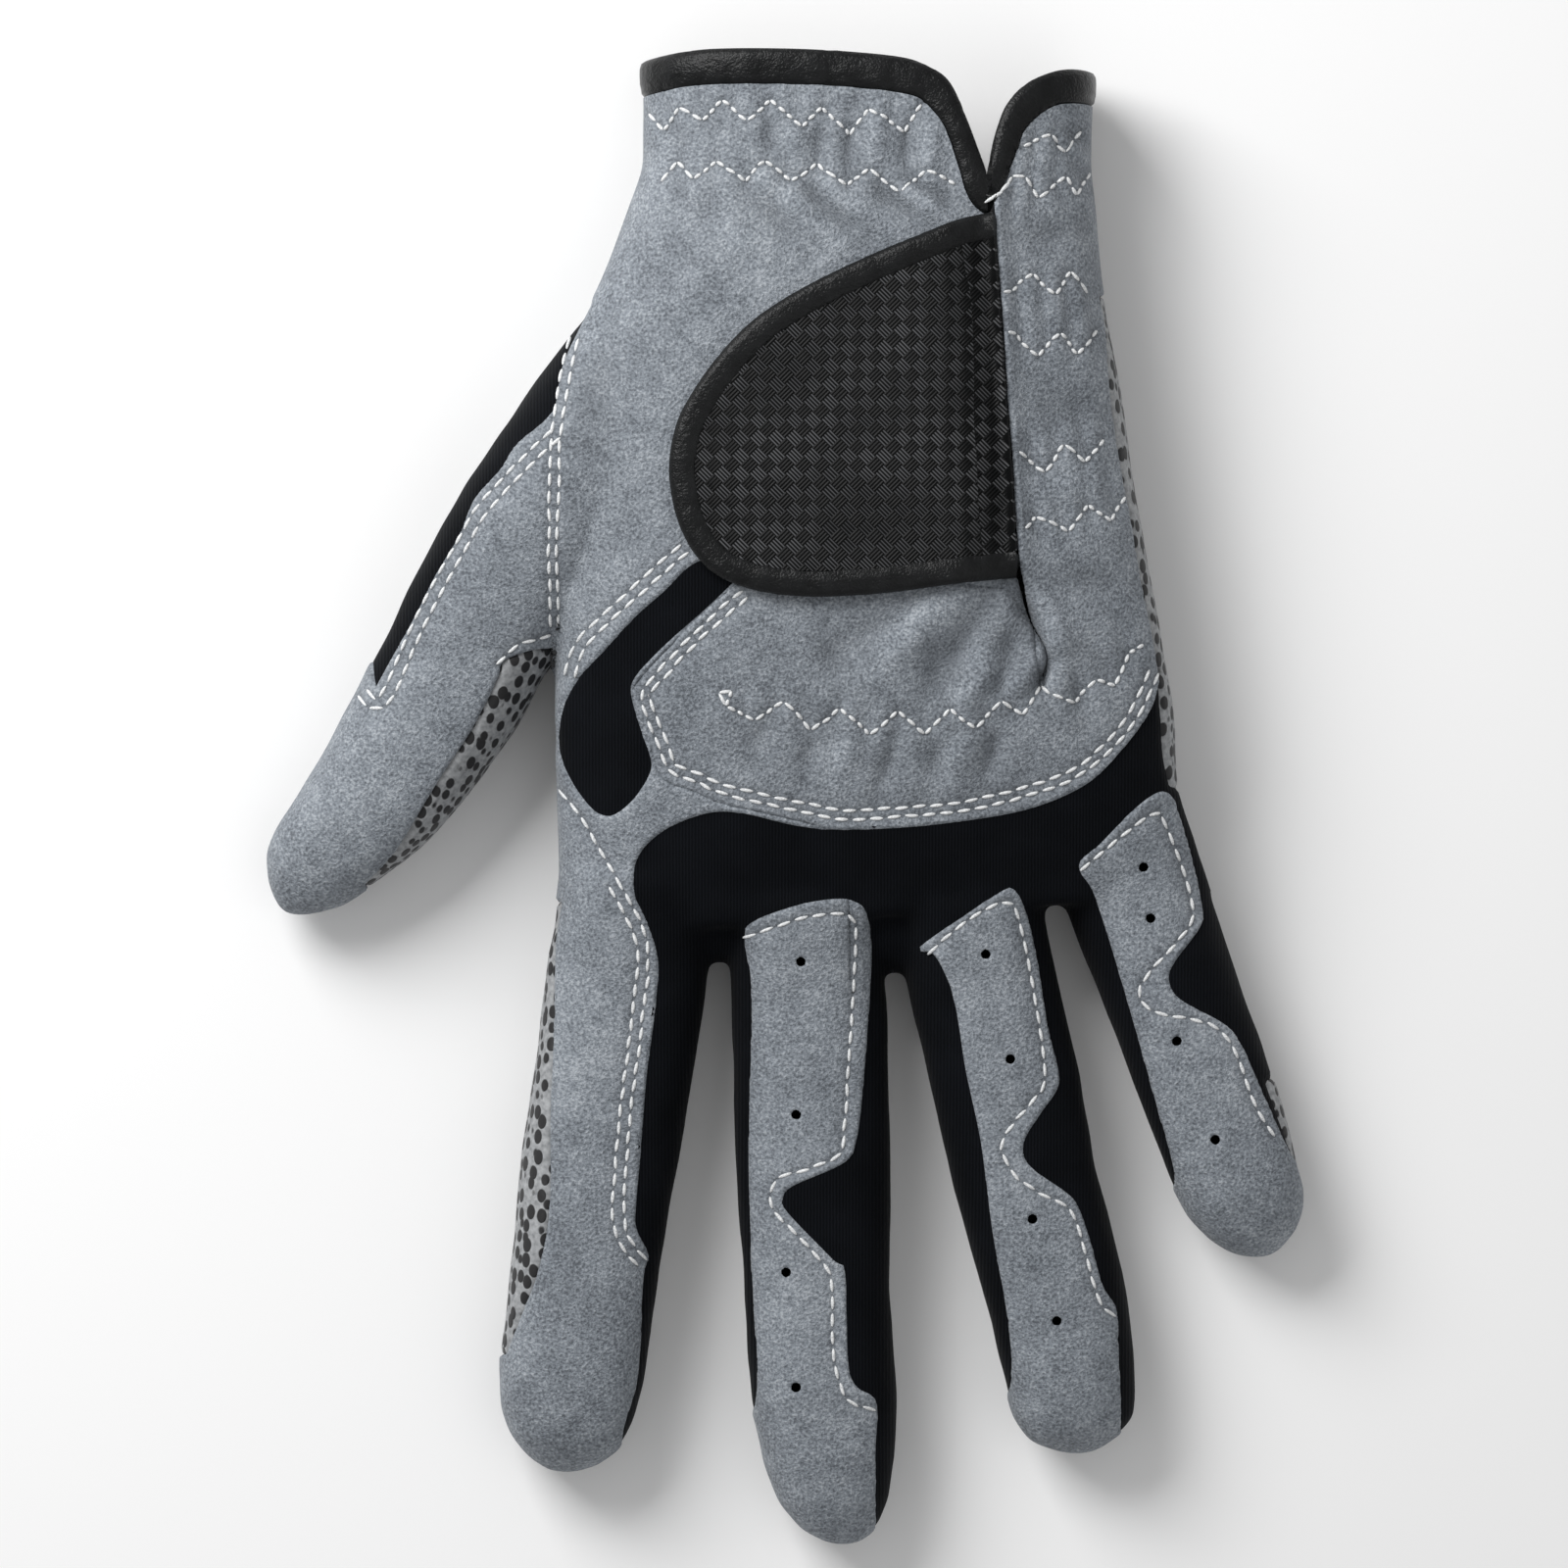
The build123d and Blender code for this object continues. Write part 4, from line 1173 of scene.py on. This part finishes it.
def loop_finish():
    material, shader = new_finish("loop_fabric", Roughness=0.95, Sheen_Weight=0.5)
    pile = noise_value(material, cloth_place(material), 1100.0, 4.0, 0.8)
    colour = ramp(material, pile, [(0.35, (0.008, 0.008, 0.009)), (0.7, (0.05, 0.05, 0.055))])
    return finished(material, shader, colour, pile, 0.6 * mm)


face_sheet = tab_sheet(0.34, face_lift)
trim(face_sheet, "edge", -tape_width + 0.25)
for vert in face_sheet.verts:
    u = (vert.co.x + vert.co.y) / (2 ** 0.5 * weave_cell * mm)
    v = (vert.co.y - vert.co.x) / (2 ** 0.5 * weave_cell * mm)
    dome = (1 - (2 * (u % 1) - 1) ** 8) * (1 - (2 * (v % 1) - 1) ** 8)
    vert.co.z += 0.14 * mm * dome
finish_tab_piece(face_sheet, "tab_woven_face", 0.45, weave_finish())

backing_sheet = tab_sheet(0.8, 0.0)
trim(backing_sheet, "edge", -tape_width + 0.35)
finish_tab_piece(backing_sheet, "tab_backing", 0.4, backing_finish())

tape_sheet = tab_sheet(0.45, face_lift)
trim(tape_sheet, "edge", 0.0)
trim(tape_sheet, "edge", -tape_width, keep_below=False)
edge_layer = tape_sheet.verts.layers.float["edge"]
for vert in tape_sheet.verts:
    t = min(max(-vert[edge_layer] / tape_width, 0), 1)
    vert.co.z += (-0.35 + 0.85 * tape_bulge(t) - 0.28 * tape_groove(t)) * mm
finish_tab_piece(tape_sheet, "tab_binding", tape_wall, tape_material)

hook_sheet = tab_sheet(0.7, -0.4)
loop_sheet = tab_sheet(0.7, 1.15 - tab_rise)
for pad in (hook_sheet, loop_sheet):
    trim(pad, "edge", -tape_width - pad_inset)
    trim(pad, "root", -pad_start)
finish_tab_piece(hook_sheet, "tab_hook_pad", 0.55, hook_finish())
finish_tab_piece(loop_sheet, "loop_pad", 0.7, loop_finish(), body="hand")

# ---- Studio ----
# A plain white surface, soft light from all round and a large soft lamp above the thumb side, with the
# camera straight above.


def floor_finish():
    return new_finish(
        "studio_floor", Roughness=0.9, Specular_IOR_Level=0.1, Base_Color=(0.93, 0.93, 0.93, 1.0))[0]


floor_shape = bmesh.new()
bmesh.ops.create_grid(floor_shape, x_segments=4, y_segments=4, size=3.0)
floor = object_from(mesh_from(floor_shape, "studio_floor"), "studio_floor")
floor.data.materials.append(floor_finish())

world = bpy.data.worlds.new("studio")
world.use_nodes = True
background = world.node_tree.nodes["Background"]
background.inputs["Color"].default_value = (1.0, 1.0, 1.0, 1.0)
background.inputs["Strength"].default_value = 0.4
bpy.context.scene.world = world


def add_lamp(name, place, size, power):
    """Square soft lamp that faces the glove."""
    light = bpy.data.lights.new(name, "AREA")
    light.size = size
    light.energy = power
    lamp = bpy.data.objects.new(name, light)
    lamp.location = place
    lamp.rotation_euler = (Vector((0, 0, 0)) - Vector(place)).to_track_quat("-Z", "Y").to_euler()
    bpy.context.scene.collection.objects.link(lamp)


add_lamp("key", (-0.38, 0.42, 0.47), 0.42, 5.4)
add_lamp("fill", (0.6, -0.3, 1.2), 1.0, 1.5)
bpy.context.scene.view_settings.view_transform = "Standard"

camera_height, view_width, sensor_width = 2.4, 0.224, 36.0
camera_data = bpy.data.cameras.new("camera")
camera_data.sensor_width = sensor_width
camera_data.lens = sensor_width * (camera_height - 0.012) / view_width
camera_data.clip_end = 20.0
camera = bpy.data.objects.new("camera", camera_data)
camera.location = (-0.0002, 0.0019, camera_height)
bpy.context.scene.collection.objects.link(camera)
bpy.context.scene.camera = camera
